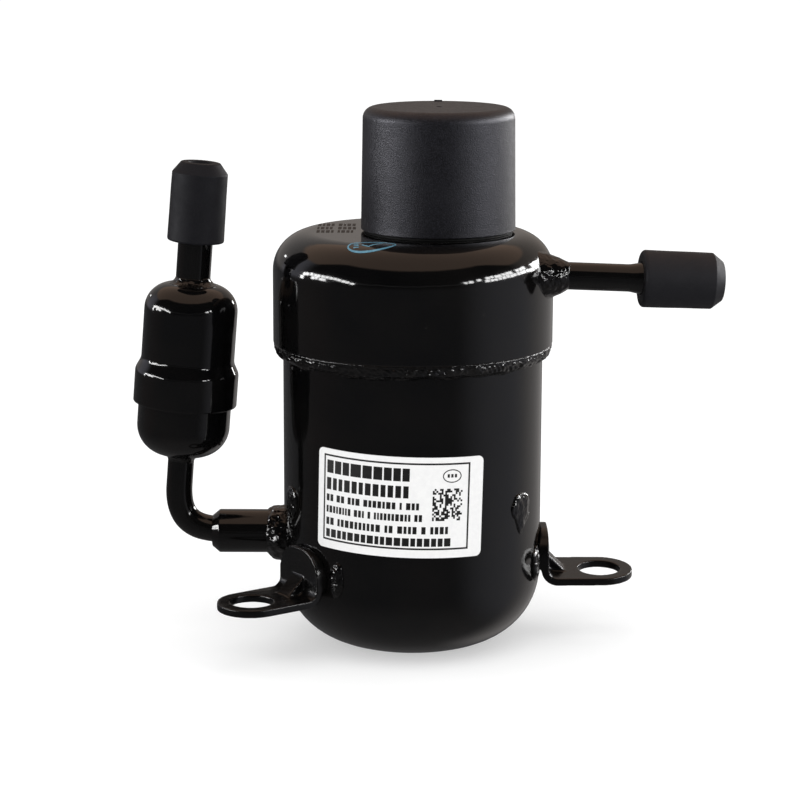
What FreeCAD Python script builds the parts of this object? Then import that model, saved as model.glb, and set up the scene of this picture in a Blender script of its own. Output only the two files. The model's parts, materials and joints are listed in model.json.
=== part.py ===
"""Hermetic refrigeration rotary compressor, built as separate pieces.

Millimetres, +Z up along the shell's axis. The origin is the centre of the shell's flat bottom.
The discharge tube leaves towards +X, the suction accumulator hangs at -X and the rating label faces -Y.
"""
import FreeCAD, Part
import math
import os

import Sketcher

V = FreeCAD.Vector
doc = FreeCAD.newDocument("RotaryCompressor")

# Driving dimensions: alias, value, what it is.
SIZES = (
    ("shell_r", 30.5, "outer radius of the drawn lower shell"),
    ("shell_wall", 2.3, "steel thickness of both shells"),
    ("shell_corner", 17.0, "outer corner radius of the shell's bottom"),
    ("shell_rim", 80.0, "height of the lower shell's rim, inside the upper shell"),
    ("cap_r", 32.8, "outer radius of the upper shell"),
    ("cap_rim", 71.5, "height of the upper shell's lower edge"),
    ("cap_top", 97.6, "height of the upper shell's flat top"),
    ("cap_corner", 9.0, "outer corner radius of the upper shell"),
    ("girth_low", 68.2, "lowest point of the girth weld"),
    ("girth_bulge", 1.0, "how far the girth weld bulges at its lower edge"),
    ("plug_weld_z", 35.5, "height of the plug welds that hold the pump"),
    ("plug_weld_hole", 2.5, "radius of the shell's plug weld holes"),
    ("plug_weld_r", 3.7, "radius of a plug weld's head"),
    ("plug_weld_deep", 0.3, "how far a plug weld's core runs past the shell's wall"),
    ("plug_weld_head", 0.7, "how far a plug weld's head stands proud of the shell"),
    ("terminal_x", 5.8, "offset of the terminal's axis"),
    ("terminal_r", 9.5, "radius of the terminal where it fills its hole"),
    ("terminal_flange", 11.5, "radius of the terminal's inner flange"),
    ("pin_pitch", 5.0, "radius of the circle of terminal pins"),
    ("pin_r", 1.15, "radius of a terminal pin's free end"),
    ("pin_core", 1.7, "radius of a terminal pin in its glass"),
    ("pin_low", 85.0, "lowest point of the pins"),
    ("pin_shoulder", 99.8, "height where a pin's free end starts"),
    ("pin_top", 108.5, "tip of the pins"),
    ("glass_r", 2.4, "radius of a glass seal"),
    ("glass_proud", 2.0, "top of the glass seals above the shell"),
    ("terminal_lip", 1.5, "thickness of the terminal's inner flange"),
    ("terminal_proud", 1.2, "top of the terminal above the shell"),
    ("connector_r", 8.5, "radius of the inner connector"),
    ("connector_low", 84.0, "lower face of the inner connector"),
    ("connector_top", 91.0, "upper face of the inner connector"),
    ("connector_edge", 1.0, "radius round the inner connector's top edge"),
    ("fence_r", 15.5, "outer radius of the ring that the cover fits over"),
    ("fence_top", 103.4, "top of that ring"),
    ("fence_wall", 1.1, "wall of that ring"),
    ("gasket_inner", 15.9, "inner radius of the cover's gasket"),
    ("gasket_outer", 18.1, "outer radius of the cover's gasket"),
    ("gasket_top", 98.2, "top face of the cover's gasket"),
    ("cover_r", 18.0, "outer radius of the terminal cover at its rim"),
    ("cover_top_r", 17.6, "outer radius of the terminal cover at its top"),
    ("cover_top", 126.5, "height of the terminal cover's top"),
    ("cover_wall", 2.0, "wall of the terminal cover"),
    ("cover_edge", 2.6, "radius round the terminal cover's top edge"),
    ("gate_r", 0.8, "radius of the moulding gate's dimple in the cover's top"),
    ("gate_depth", 0.5, "depth of that dimple"),
    ("nib_half", 0.95, "half width of the raised nib at the back of the cover's top"),
    ("nib_from", 13.5, "near face of that nib, from the cover's axis"),
    ("nib_to", 14.5, "far face of that nib"),
    ("nib_high", 0.3, "how far that nib stands above the cover's top"),
    ("tube_x", 31.4, "where the discharge tube leaves the upper shell"),
    ("tube_y", 9.5, "the same, towards -Y"),
    ("tube_z", 88.8, "the same, height"),
    ("tube_yaw", 4.5, "the discharge tube's turn towards +Y, degrees"),
    ("tube_droop", 2.6, "the discharge tube's droop, degrees"),
    ("tube_r", 3.175, "outer radius of the discharge tube"),
    ("tube_bore", 2.475, "bore radius of the discharge tube"),
    ("tube_in", 5.0, "length of the discharge tube inside the shell wall"),
    ("tube_out", 34.0, "length of the discharge tube outside"),
    ("socket_r", 3.75, "outer radius of the discharge tube's socket"),
    ("socket_bore", 3.2, "bore radius of the discharge tube's socket"),
    ("socket_from", 18.6, "where the discharge tube starts to widen"),
    ("socket_seat", 21.6, "where the discharge tube has its full socket"),
    ("braze_r", 6.0, "radius of the discharge tube's braze at the shell"),
    ("braze_knee", 5.0, "radius of that braze at its knee"),
    ("braze_neck", 3.9, "radius of that braze at its neck"),
    ("braze_end", 4.2, "where that braze has run out along the tube"),
    ("plug_low", 21.2, "the discharge plug's open end, from the shell"),
    ("plug_top", 40.2, "the discharge plug's closed end, from the shell"),
    ("plug_r", 6.7, "outer radius of a rubber plug at its open end"),
    ("plug_taper", 0.15, "how much narrower a plug is at its closed end"),
    ("plug_tip_r", 4.6, "flat radius at a plug's tip"),
    ("plug_tip", 2.5, "length of a plug's end chamfer"),
    ("plug_rim", 0.9, "radius round the discharge plug's open end"),
    ("plug_edge", 0.5, "radius round the plugs' other edges"),
    ("plug_floor", 0.5, "gap between a tube's end and the floor of its plug"),
    ("plug_fit", 0.06, "radial clearance of a plug on its tube"),
    ("suction_z", 25.3, "height of the suction stub, the cylinder's middle"),
    ("stub_r", 5.15, "outer radius of the suction stub"),
    ("stub_bore", 3.15, "bore radius of the suction stub"),
    ("stub_shoulder", 45.8, "where the suction stub starts to taper"),
    ("stub_tip", 47.6, "end of the suction stub"),
    ("elbow_r", 3.1, "outer radius of the suction elbow and liner"),
    ("elbow_bore", 2.35, "bore radius of the suction elbow and liner"),
    ("elbow_bend", 8.6, "bend radius of the suction elbow's centre line"),
    ("elbow_start", 38.5, "where the elbow ends inside the stub"),
    ("stub_from", 27.0, "inner end of the suction stub"),
    ("stub_lip", 0.5, "thickness of the suction stub's rounded mouth"),
    ("liner_from", 21.0, "inner end of the suction liner"),
    ("liner_to", 38.0, "outer end of the suction liner"),
    ("collar_r", 8.4, "radius of the suction stub's weld at the shell"),
    ("collar_knee", 30.9, "where that weld starts to narrow"),
    ("collar_neck_r", 6.6, "radius of that weld at its neck"),
    ("collar_neck", 32.4, "where that weld has its neck"),
    ("collar_end", 34.0, "where that weld has run out along the stub"),
    ("acc_x", 54.8, "the accumulator's bottom, towards -X"),
    ("acc_z", 44.0, "height of the accumulator's bottom"),
    ("acc_lean", 4.5, "lean of the accumulator towards the shell, degrees"),
    ("acc_r", 10.95, "outer radius of the accumulator's lower cup"),
    ("acc_wall", 1.1, "wall of the accumulator's cups"),
    ("acc_corner", 7.2, "outer corner radius of the accumulator's lower end"),
    ("acc_shoulder", 6.2, "outer corner radius of the accumulator's upper end"),
    ("acc_len", 41.1, "length of the accumulator"),
    ("acc_seam", 21.5, "rim of the lower cup inside the upper one"),
    ("band_r", 12.2, "outer radius of the upper cup's bell"),
    ("band_low", 12.5, "lower edge of the bell"),
    ("band_high", 20.0, "where the bell starts to narrow"),
    ("band_end", 23.6, "where the bell has narrowed to the cup"),
    ("band_edge", 5.0, "radius round the bell's upper edges"),
    ("standpipe", 28.0, "top of the standpipe, from the accumulator's bottom"),
    ("baffle_low", 31.0, "lower face of the accumulator's baffle"),
    ("baffle_sheet", 0.8, "sheet thickness of the baffle"),
    ("baffle_hole", 1.4, "radius of the baffle's holes"),
    ("baffle_pitch", 6.4, "radius of the circle of those holes"),
    ("screen_low", 35.0, "lowest point of the inlet screen"),
    ("screen_top", 39.4, "rim of the inlet screen, round the inlet tube"),
    ("screen_r", 3.2, "flat radius of the screen's bottom"),
    ("screen_wall", 0.8, "thickness of the screen's rim"),
    ("braze_leg", 1.5, "leg of the accumulator's braze rings"),
    ("inlet_r", 4.05, "outer radius of the suction inlet tube"),
    ("inlet_bore", 3.25, "bore radius of the suction inlet tube"),
    ("inlet_low", 38.6, "lower end of the suction inlet tube"),
    ("inlet_top", 62.0, "upper end of the suction inlet tube"),
    ("cork_low", 51.2, "the suction plug's open end, from the accumulator's bottom"),
    ("cork_top", 69.7, "the suction plug's closed end"),
    ("cork_recess", 2.9, "radius of the recess in the suction plug's tip"),
    ("cork_sunk", 0.6, "depth of that recess"),
    ("foot_top", 15.4, "upper face of the feet"),
    ("foot_plate", 1.8, "thickness of the feet"),
    ("foot_half", 8.0, "half width of a foot"),
    ("foot_pitch", 45.0, "distance of a foot's hole from the axis"),
    ("foot_hole", 5.0, "radius of a foot's hole"),
    ("foot_flange", 26.2, "top of a foot's upright flange"),
    ("foot_corner", 6.5, "radius of the flange's upper corners"),
    ("foot_bend", 2.2, "radius inside a foot's bend"),
    ("foot_blank", 24.5, "inner edge of a foot before the shell is cut from it"),
    ("dart", 4.4, "reach of the dart pressed into a foot's bend"),
    ("dart_width", 5.0, "width of that dart"),
    ("bead_r", 4.3, "radius of the feet's weld beads"),
    ("small_bead_r", 1.8, "radius of the bead beside the suction weld"),
    ("bead_z", 20.3, "height of the middle of those beads"),
    ("bead_head", 0.8, "how far those beads stand proud of the shell"),
    ("label_low", 27.0, "lower edge of the rating label"),
    ("label_high", 51.0, "upper edge of the rating label"),
    ("label_skin", 0.15, "thickness of the rating label"),
    ("pump_low", 19.7, "lower face of the pump's cylinder"),
    ("pump_height", 11.0, "height of the pump's cylinder"),
    ("bore_r", 15.5, "bore radius of the pump's cylinder"),
    ("cylinder_r", 26.5, "outer radius of the pump's cylinder"),
    ("throw", 1.99, "the crankshaft's eccentricity"),
    ("roller_r", 13.49, "outer radius of the roller"),
    ("eccentric_r", 10.0, "radius of the crankshaft's eccentric"),
    ("running_fit", 0.03, "running clearance of the pump's pieces"),
    ("shaft_r", 6.0, "radius of the crankshaft"),
    ("journal_r", 5.0, "radius of the crankshaft's lower journal"),
    ("shaft_low", 6.0, "lower end of the crankshaft"),
    ("shaft_top", 74.0, "upper end of the crankshaft"),
    ("oil_bore", 2.0, "radius of the crankshaft's oil bore"),
    ("vane_thick", 3.2, "thickness of the vane"),
    ("vane_length", 7.6, "length of the vane"),
    ("vane_nose", 1.45, "radius round the vane's nose"),
    ("vane_rest", 0.02, "how far the vane's nose rests behind the bore"),
    ("slot_start", 13.5, "inner end of the vane's slot"),
    ("slot_long", 10.0, "length of the vane's slot"),
    ("spring_hole", 2.0, "radius of the vane spring's hole"),
    ("spring_from", 20.5, "inner end of the vane spring's hole"),
    ("side_hole", 10.0, "length of the cylinder's side holes"),
    ("inlet_seat", 21.0, "where the cylinder's inlet widens for the stub"),
    ("spring_r", 1.45, "mean radius of the vane's spring"),
    ("spring_wire", 0.25, "radius of the spring's wire"),
    ("flange_r", 28.15, "outer radius of the main bearing and the stator"),
    ("main_plate", 4.5, "thickness of the main bearing's plate"),
    ("main_rim", 40.0, "top of the main bearing's rim"),
    ("main_hub_r", 9.0, "outer radius of the main bearing's hub"),
    ("main_hub", 49.5, "top of the main bearing's hub"),
    ("sub_plate", 6.0, "thickness of the sub bearing's plate"),
    ("sub_r", 24.5, "outer radius of the sub bearing"),
    ("sub_hub_r", 8.0, "outer radius of the sub bearing's hub"),
    ("sub_hub", 7.5, "lower end of the sub bearing's hub"),
    ("bolt_pitch", 21.2, "radius of the circle of pump bolts"),
    ("bolt_r", 1.95, "radius of a pump bolt"),
    ("bolt_head_r", 3.3, "radius of a pump bolt's head"),
    ("port_pitch", 13.5, "distance of the discharge port from the axis"),
    ("port_r", 1.6, "radius of the discharge port"),
    ("hub_root", 1.5, "radius at the root of the main bearing's hub"),
    ("rim_wall", 3.0, "thickness of the main bearing's rim"),
    ("cam_gap", 0.7, "free height below and above the eccentric"),
    ("feed_r", 0.8, "radius of the crankshaft's oil feeds"),
    ("feed_z", 40.0, "height of the crankshaft's upper oil feed"),
    ("oil_reach", 39.0, "length of the crankshaft's oil bore"),
    ("paddle", 3.8, "width of the oil paddle"),
    ("paddle_sheet", 0.6, "thickness of the oil paddle"),
    ("paddle_long", 16.0, "length of the oil paddle"),
    ("paddle_low", 6.5, "lower end of the oil paddle"),
    ("muffler_sheet", 0.8, "sheet thickness of the discharge muffler"),
    ("muffler_r", 19.0, "outer radius of the muffler's dome"),
    ("muffler_flange", 23.6, "outer radius of the muffler's flange"),
    ("muffler_top", 43.0, "top of the muffler's dome"),
    ("muffler_edge", 2.5, "radius round the muffler's dome"),
    ("muffler_hole", 1.6, "radius of the muffler's outlets"),
    ("muffler_pitch", 14.0, "distance of those outlets from the axis"),
    ("head_room", 3.6, "radius of the muffler's cut-outs round the bolt heads"),
    ("screw_fit", 0.05, "clearance of a fixed pin, bolt or hub in its hole"),
    ("bolt_head", 2.8, "height of a pump bolt's head"),
    ("bolt_socket", 1.8, "corner radius of the socket in that head"),
    ("socket_deep", 1.6, "depth of that socket"),
    ("reed_length", 10.0, "from the valve's rivet to the discharge port"),
    ("reed_thick", 0.3, "thickness of the discharge valve's reed"),
    ("reed_half", 2.0, "half width of the reed"),
    ("reed_tail", 2.4, "length of the reed behind its rivet"),
    ("reed_head", 2.3, "radius of the reed's head over the port"),
    ("reed_eye", 1.3, "radius of the reed's hole round its rivet"),
    ("reed_gap", 0.03, "clearance under the reed"),
    ("stop_gap", 0.75, "lower face of the valve stop above its seat"),
    ("stop_root", 3.0, "where the valve stop starts to rise"),
    ("stop_rise", 1.4, "rise of the valve stop at its tip"),
    ("stop_thick", 0.9, "thickness of the valve stop"),
    ("stop_width", 4.2, "width of the valve stop"),
    ("stop_over", 2.0, "reach of the valve stop past the port"),
    ("nail_r", 1.0, "radius of the valve's rivet"),
    ("nail_deep", 1.8, "depth of that rivet in the main bearing"),
    ("nail_collar", 1.2, "radius of the rivet's collar over the reed"),
    ("nail_head", 1.7, "radius of the rivet's head"),
    ("nail_high", 0.8, "height of the rivet's head"),
    ("stack_low", 52.0, "lower face of the stator's laminations"),
    ("stack_top", 72.0, "upper face of the stator's laminations"),
    ("gap_r", 15.0, "inner radius of the stator"),
    ("yoke_r", 24.6, "inner radius of the stator's yoke"),
    ("tip_r", 16.8, "outer radius of the stator's tooth tips"),
    ("tooth_half", 3.2, "half width of a stator tooth"),
    ("slot_gap", 2.2, "opening between two tooth tips"),
    ("coil_in", 17.6, "inner face of a coil"),
    ("coil_out", 23.2, "outer face of a coil"),
    ("coil_half", 7.0, "half width of a coil"),
    ("coil_window", 3.95, "half width of a coil's window"),
    ("coil_over", 5.5, "how far a coil stands past the laminations"),
    ("coil_edge", 2.2, "radius of a coil's corners"),
    ("cap_sheet", 1.8, "thickness of the slot insulators over the teeth"),
    ("insulator_wall", 7.0, "height of the slot insulators' walls"),
    ("insulator_back", 2.0, "thickness of their outer walls"),
    ("insulator_front", 5.6, "height of their inner walls"),
    ("insulator_gap", 0.3, "distance of their inner walls from the stator's bore"),
    ("insulator_half", 3.8, "half width of the insulators over the teeth"),
    ("rotor_r", 14.4, "radius of the rotor"),
    ("rotor_low", 51.0, "lower face of the rotor"),
    ("rotor_top", 73.0, "upper face of the rotor"),
    ("magnet_in", 9.7, "inner face of a magnet"),
    ("magnet_thick", 2.6, "thickness of a magnet"),
    ("magnet_half", 6.5, "half width of a magnet"),
    ("magnet_fit", 0.05, "clearance round a magnet"),
    ("rivet_pitch", 11.6, "distance of the rotor's rivets from the axis"),
    ("rivet_r", 1.15, "radius of a rotor rivet"),
    ("rivet_head_r", 1.9, "radius of a rotor rivet's heads"),
    ("rivet_head", 0.7, "height of a rotor rivet's heads"),
    ("end_plate", 1.0, "thickness of the rotor's end plates"),
    ("end_plate_in", 0.3, "how far the end plates stay inside the rotor's radius"),
    ("weight", 4.5, "thickness of the balance weights"),
    ("weight_in", 9.7, "inner radius of the balance weights"),
    ("weight_out", 14.0, "outer radius of the balance weights"),
    ("lead_r", 0.9, "radius of a motor lead"),
    ("lead_bend", 3.5, "bend radius of a motor lead"),
    ("lead_foot", 20.4, "distance of the leads' lower ends from the axis"),
    ("lead_rise", 2.5, "height of the leads above the pins' lower ends"),
)

# Directions round the axis, in degrees from +X towards +Y.
FOOT_ANGLES = {"foot_right": 2.0, "foot_back": 108.5, "foot_left": 215.0}
# The feet's weld beads, two to a foot. The suction weld leaves one of them little room.
FOOT_WELDS = {
    -21.5: "bead_r", 25.5: "bead_r", 85.0: "bead_r", 132.0: "bead_r",
    198.5: "small_bead_r", 238.5: "bead_r"}
PLUG_WELD_ANGLES = (203.0, 326.0, 85.0)
VANE_ANGLE = 150.0
ECCENTRIC_ANGLE = 240.0
PORT_ANGLE = 120.0
REED_ANGLE = 198.0
BOLT_ANGLES = (30.0, 90.0, 210.0, 270.0, 330.0)
PIN_ANGLES = (90.0, 210.0, 330.0)
LEAD_ANGLES = (120.0, 180.0, 240.0)
LABEL_ANGLES = (225.4, 301.4)
MAGNET_ANGLES = (0.0, 90.0, 180.0, 270.0)
TOOTH_ANGLES = (0.0, 60.0, 120.0, 180.0, 240.0, 300.0)
MUFFLER_OUTLETS = (0.0, 240.0)
# The rotor's rivets, with the balance weight that each goes through and the eccentric at 0 degrees.
RIVETS = {45.0: "upper", 135.0: "lower", 225.0: "lower", 315.0: "upper"}
WEIGHT_SPAN = 75.0
FULL_TURN = 360.0
CLEAR = 1.0
NEAR = 0.01


class Size:
    """A number together with the sheet expression that drives it."""

    def __init__(self, value, text=None):
        self.value = float(value)
        self.text = text or f"{self.value:.6f}"

    def join(self, other, sign, value):
        return Size(value, f"({self.text} {sign} {size(other).text})")

    def __add__(self, other):
        return self.join(other, "+", self.value + size(other).value)

    def __sub__(self, other):
        return self.join(other, "-", self.value - size(other).value)

    def __mul__(self, other):
        return self.join(other, "*", self.value * size(other).value)

    def __truediv__(self, other):
        return self.join(other, "/", self.value / size(other).value)

    def __neg__(self):
        return Size(-self.value, f"(-1 * {self.text})")

    __radd__ = __add__


def size(number):
    return number if isinstance(number, Size) else Size(number)


def sheet_of_sizes():
    sheet = doc.addObject("Spreadsheet::Sheet", "Sizes")
    for row, (alias, value, note) in enumerate(SIZES, 1):
        sheet.set(f"A{row}", note)
        sheet.set(f"B{row}", str(value))
        sheet.setAlias(f"B{row}", alias)
    doc.recompute()
    return {alias: Size(sheet.get(alias), f"Sizes.{alias}") for alias, value, note in SIZES}


d = sheet_of_sizes()
nodes = []


def node(obj, name):
    """Names a finished sub-part and keeps it for export."""
    obj.Label = name
    if obj.Label != name:
        raise RuntimeError(f"the label {name} is taken")
    nodes.append(obj)
    return obj


def bind(obj, **properties):
    for name, number in properties.items():
        obj.setExpression(name, size(number).text)
    return obj


def place(obj, x=0, y=0, z=0, turn=None):
    """Puts an object at a bound position, with an optional rotation."""
    spot = [size(number) for number in (x, y, z)]
    base = V(*(number.value for number in spot))
    obj.Placement = FreeCAD.Placement(base, turn or FreeCAD.Rotation())
    for axis, number in zip("xyz", spot):
        obj.setExpression(f"Placement.Base.{axis}", number.text)
    return obj


def about_z(angle):
    return FreeCAD.Rotation(V(0, 0, 1), angle)


def radial(angle):
    """The rotation that takes a primitive's own Z axis to the horizontal direction at this angle."""
    return about_z(angle) * FreeCAD.Rotation(V(0, 1, 0), 90)


def polar(radius, angle):
    turn = math.radians(angle)
    return radius * math.cos(turn), radius * math.sin(turn)


# Sketches


def sketch_on(body, role="XZ_Plane", lift=None):
    """A sketch on one of the body's own planes. XZ_Plane has x along X and y along Z."""
    plane = next(f for f in body.Origin.OriginFeatures if f.Role == role)
    sketch = body.newObject("Sketcher::SketchObject", "Sketch")
    sketch.AttachmentSupport = [(plane, "")]
    sketch.MapMode = "FlatFace"
    if lift is not None:
        sketch.setExpression("AttachmentOffset.Base.z", size(lift).text)
    return sketch


def pin_point(sketch, geometry, vertex, x, y):
    """Fixes one point of the sketch at a bound position."""
    for kind, number, axis in (("DistanceX", size(x), -2), ("DistanceY", size(y), -1)):
        if number.value == 0:
            sketch.addConstraint(Sketcher.Constraint("PointOnObject", geometry, vertex, axis))
            continue
        rule = Sketcher.Constraint(kind, -1, 1, geometry, vertex, number.value)
        index = sketch.addConstraint(rule)
        sketch.setExpression(f"Constraints[{index}]", number.text)


def polygon(sketch, points):
    points = [(size(x), size(y)) for x, y in points]
    corners = [V(x.value, y.value, 0) for x, y in points]
    first = sketch.GeometryCount
    for start, end in zip(corners, corners[1:] + corners[:1]):
        sketch.addGeometry(Part.LineSegment(start, end))
    for step, (x, y) in enumerate(points):
        before = first + (step - 1) % len(points)
        sketch.addConstraint(Sketcher.Constraint("Coincident", before, 2, first + step, 1))
        pin_point(sketch, first + step, 1, x, y)


def rectangle(sketch, left, low, right, high):
    polygon(sketch, [(left, low), (right, low), (right, high), (left, high)])


def circle(sketch, radius, x=0, y=0):
    x, y, radius = size(x), size(y), size(radius)
    shape = Part.Circle(V(x.value, y.value, 0), V(0, 0, 1), radius.value)
    index = sketch.addGeometry(shape)
    pin_point(sketch, index, 3, x, y)
    rule = sketch.addConstraint(Sketcher.Constraint("Radius", index, radius.value))
    sketch.setExpression(f"Constraints[{rule}]", radius.text)


def sector(sketch, inner, outer, start, end):
    """A ring sector between two directions, in degrees."""
    arcs = []
    for radius in (size(inner), size(outer)):
        whole = Part.Circle(V(0, 0, 0), V(0, 0, 1), radius.value)
        arc = Part.ArcOfCircle(whole, math.radians(start), math.radians(end))
        index = sketch.addGeometry(arc)
        sketch.addConstraint(Sketcher.Constraint("Coincident", index, 3, -1, 1))
        rule = sketch.addConstraint(Sketcher.Constraint("Radius", index, radius.value))
        sketch.setExpression(f"Constraints[{rule}]", radius.text)
        arcs.append(index)
    for vertex, angle in ((1, start), (2, end)):
        ends = [V(*polar(size(radius).value, angle), 0) for radius in (inner, outer)]
        side = sketch.addGeometry(Part.LineSegment(*ends))
        for point, arc in zip((1, 2), arcs):
            sketch.addConstraint(Sketcher.Constraint("Coincident", side, point, arc, vertex))
        ray = sketch.addGeometry(Part.LineSegment(V(0, 0, 0), ends[0]), True)
        sketch.addConstraint(Sketcher.Constraint("Coincident", ray, 1, -1, 1))
        sketch.addConstraint(Sketcher.Constraint("Coincident", ray, 2, side, 1))
        sketch.addConstraint(Sketcher.Constraint("PointOnObject", side, 2, ray))
        turn = math.radians(angle)
        sketch.addConstraint(Sketcher.Constraint("Angle", ray, turn))


# Features


def new_body(name):
    body = doc.addObject("PartDesign::Body", name)
    body.Label = name
    return body


def revolve(body, points, kind="Revolution"):
    """A closed outline of (radius, height) points, turned about the body's Z axis."""
    sketch = sketch_on(body)
    polygon(sketch, points)
    feature = body.newObject(f"PartDesign::{kind}", kind)
    feature.Profile = sketch
    feature.ReferenceAxis = (sketch, ["V_Axis"])
    feature.Angle = FULL_TURN
    sketch.Visibility = False
    return feature


def turned(name, points):
    body = new_body(name)
    revolve(body, points)
    return body


def pad(body, sketch, length, both=False):
    feature = body.newObject("PartDesign::Pad", "Pad")
    feature.Profile = sketch
    feature.SideType = "Symmetric" if both else "One side"
    return bind(feature, Length=length)


def pocket(body, sketch, length=None, both=True):
    """Cuts through everything both ways, or to a depth along the sketch's normal reversed."""
    feature = body.newObject("PartDesign::Pocket", "Pocket")
    feature.Profile = sketch
    feature.SideType = "Symmetric" if both else "One side"
    if length is None:
        feature.Type = "ThroughAll"
        return feature
    return bind(feature, Length=length)


def drill(body, holes, role="XY_Plane"):
    """Round holes (radius, x, y) through the whole body, normal to one of its planes."""
    sketch = sketch_on(body, role)
    for radius, x, y in holes:
        circle(sketch, radius, x, y)
    return pocket(body, sketch)


def on_circle(radius, pitch, angles):
    spots = ((math.cos(math.radians(angle)), math.sin(math.radians(angle))) for angle in angles)
    return [(radius, pitch * round(x, 9), pitch * round(y, 9)) for x, y in spots]


def repeat(body, feature, sketch, count):
    """Repeats a feature evenly round the normal of its sketch."""
    ring = body.newObject("PartDesign::PolarPattern", "Ring")
    ring.Originals = [feature]
    ring.Axis = (sketch, ["N_Axis"])
    ring.Angle = FULL_TURN
    ring.Occurrences = count
    body.Tip = ring
    return ring


def dress(body, kind, number, wanted):
    """Fillets or chamfers the edges that wanted(edge) picks."""
    doc.recompute()
    base = body.Tip
    names = [f"Edge{i}" for i, edge in enumerate(base.Shape.Edges, 1) if wanted(edge)]
    if not names:
        raise RuntimeError(f"{body.Label}: no edge to dress")
    feature = body.newObject(f"PartDesign::{kind}", kind)
    feature.Base = (base, names)
    return bind(feature, **{"Radius" if kind == "Fillet" else "Size": number})


def ring_edge(radius, height):
    """Picks the circle of this radius round the Z axis at this height."""
    radius, height = size(radius).value, size(height).value

    def wanted(edge):
        curve = edge.Curve
        if not isinstance(curve, Part.Circle) or abs(curve.Center.z - height) > NEAR:
            return False
        return abs(curve.Radius - radius) < NEAR and math.hypot(curve.Center.x, curve.Center.y) < NEAR

    return wanted


def cylinder(radius, height, x=0, y=0, z=0, turn=None):
    shape = doc.addObject("Part::Cylinder", "Cylinder")
    return place(bind(shape, Radius=radius, Height=height), x, y, z, turn)


def box(length, width, height, x=0, y=0, z=0, turn=None):
    shape = doc.addObject("Part::Box", "Box")
    return place(bind(shape, Length=length, Width=width, Height=height), x, y, z, turn)


def fuse(*parts):
    joined = doc.addObject("Part::MultiFuse", "Fuse")
    joined.Shapes = list(parts)
    return joined


def cut(base, *tools):
    left = doc.addObject("Part::Cut", "Cut")
    left.Base = base
    left.Tool = tools[0] if len(tools) == 1 else fuse(*tools)
    return left


def group(*parts):
    """Separate solids that share one node."""
    bundle = doc.addObject("Part::Compound", "Group")
    bundle.Links = list(parts)
    return bundle


def bent_tube(name, start, corner, end, bend, outer, inner, role):
    """A tube along two straight legs joined by one arc, in the body's XZ plane."""
    body = new_body(name)
    path = sketch_on(body)
    points = [tuple(size(number) for number in point) for point in (start, corner, end)]
    first, middle, last = (V(x.value, z.value, 0) for x, z in points)
    legs = [(first - middle).normalize(), (last - middle).normalize()]
    half_turn = legs[0].getAngle(legs[1]) / 2
    reach = size(bend).value / math.tan(half_turn)
    joints = [middle + leg * reach for leg in legs]
    centre = middle + (legs[0] + legs[1]).normalize() * (size(bend).value / math.sin(half_turn))
    spokes = [joint - centre for joint in joints]
    near = 1 if spokes[0].cross(spokes[1]).z > 0 else 2
    angles = [math.atan2(spoke.y, spoke.x) for spoke in (spokes if near == 1 else spokes[::-1])]
    whole = Part.Circle(centre, V(0, 0, 1), size(bend).value)
    path.addGeometry(Part.LineSegment(first, joints[0]))
    path.addGeometry(Part.ArcOfCircle(whole, *angles))
    path.addGeometry(Part.LineSegment(joints[1], last))
    path.addGeometry(Part.Point(middle), True)
    path.addConstraint(Sketcher.Constraint("Tangent", 0, 2, 1, near))
    path.addConstraint(Sketcher.Constraint("Tangent", 2, 1, 1, 3 - near))
    rule = path.addConstraint(Sketcher.Constraint("Radius", 1, size(bend).value))
    path.setExpression(f"Constraints[{rule}]", size(bend).text)
    pin_point(path, 0, 1, *points[0])
    pin_point(path, 2, 2, *points[2])
    pin_point(path, 3, 1, *points[1])
    path.addConstraint(Sketcher.Constraint("PointOnObject", 3, 1, 0))
    path.addConstraint(Sketcher.Constraint("PointOnObject", 3, 1, 2))
    along_x = role == "YZ_Plane"
    ring = sketch_on(body, role, points[0][0] if along_x else points[0][1])
    centre_at = (0, points[0][1]) if along_x else (points[0][0], 0)
    circle(ring, outer, *centre_at)
    if inner is not None:
        circle(ring, inner, *centre_at)
    pipe = body.newObject("PartDesign::AdditivePipe", "Pipe")
    pipe.Profile = ring
    pipe.Spine = (path, ["Edge1", "Edge2", "Edge3"])
    return body


# Casing


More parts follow.
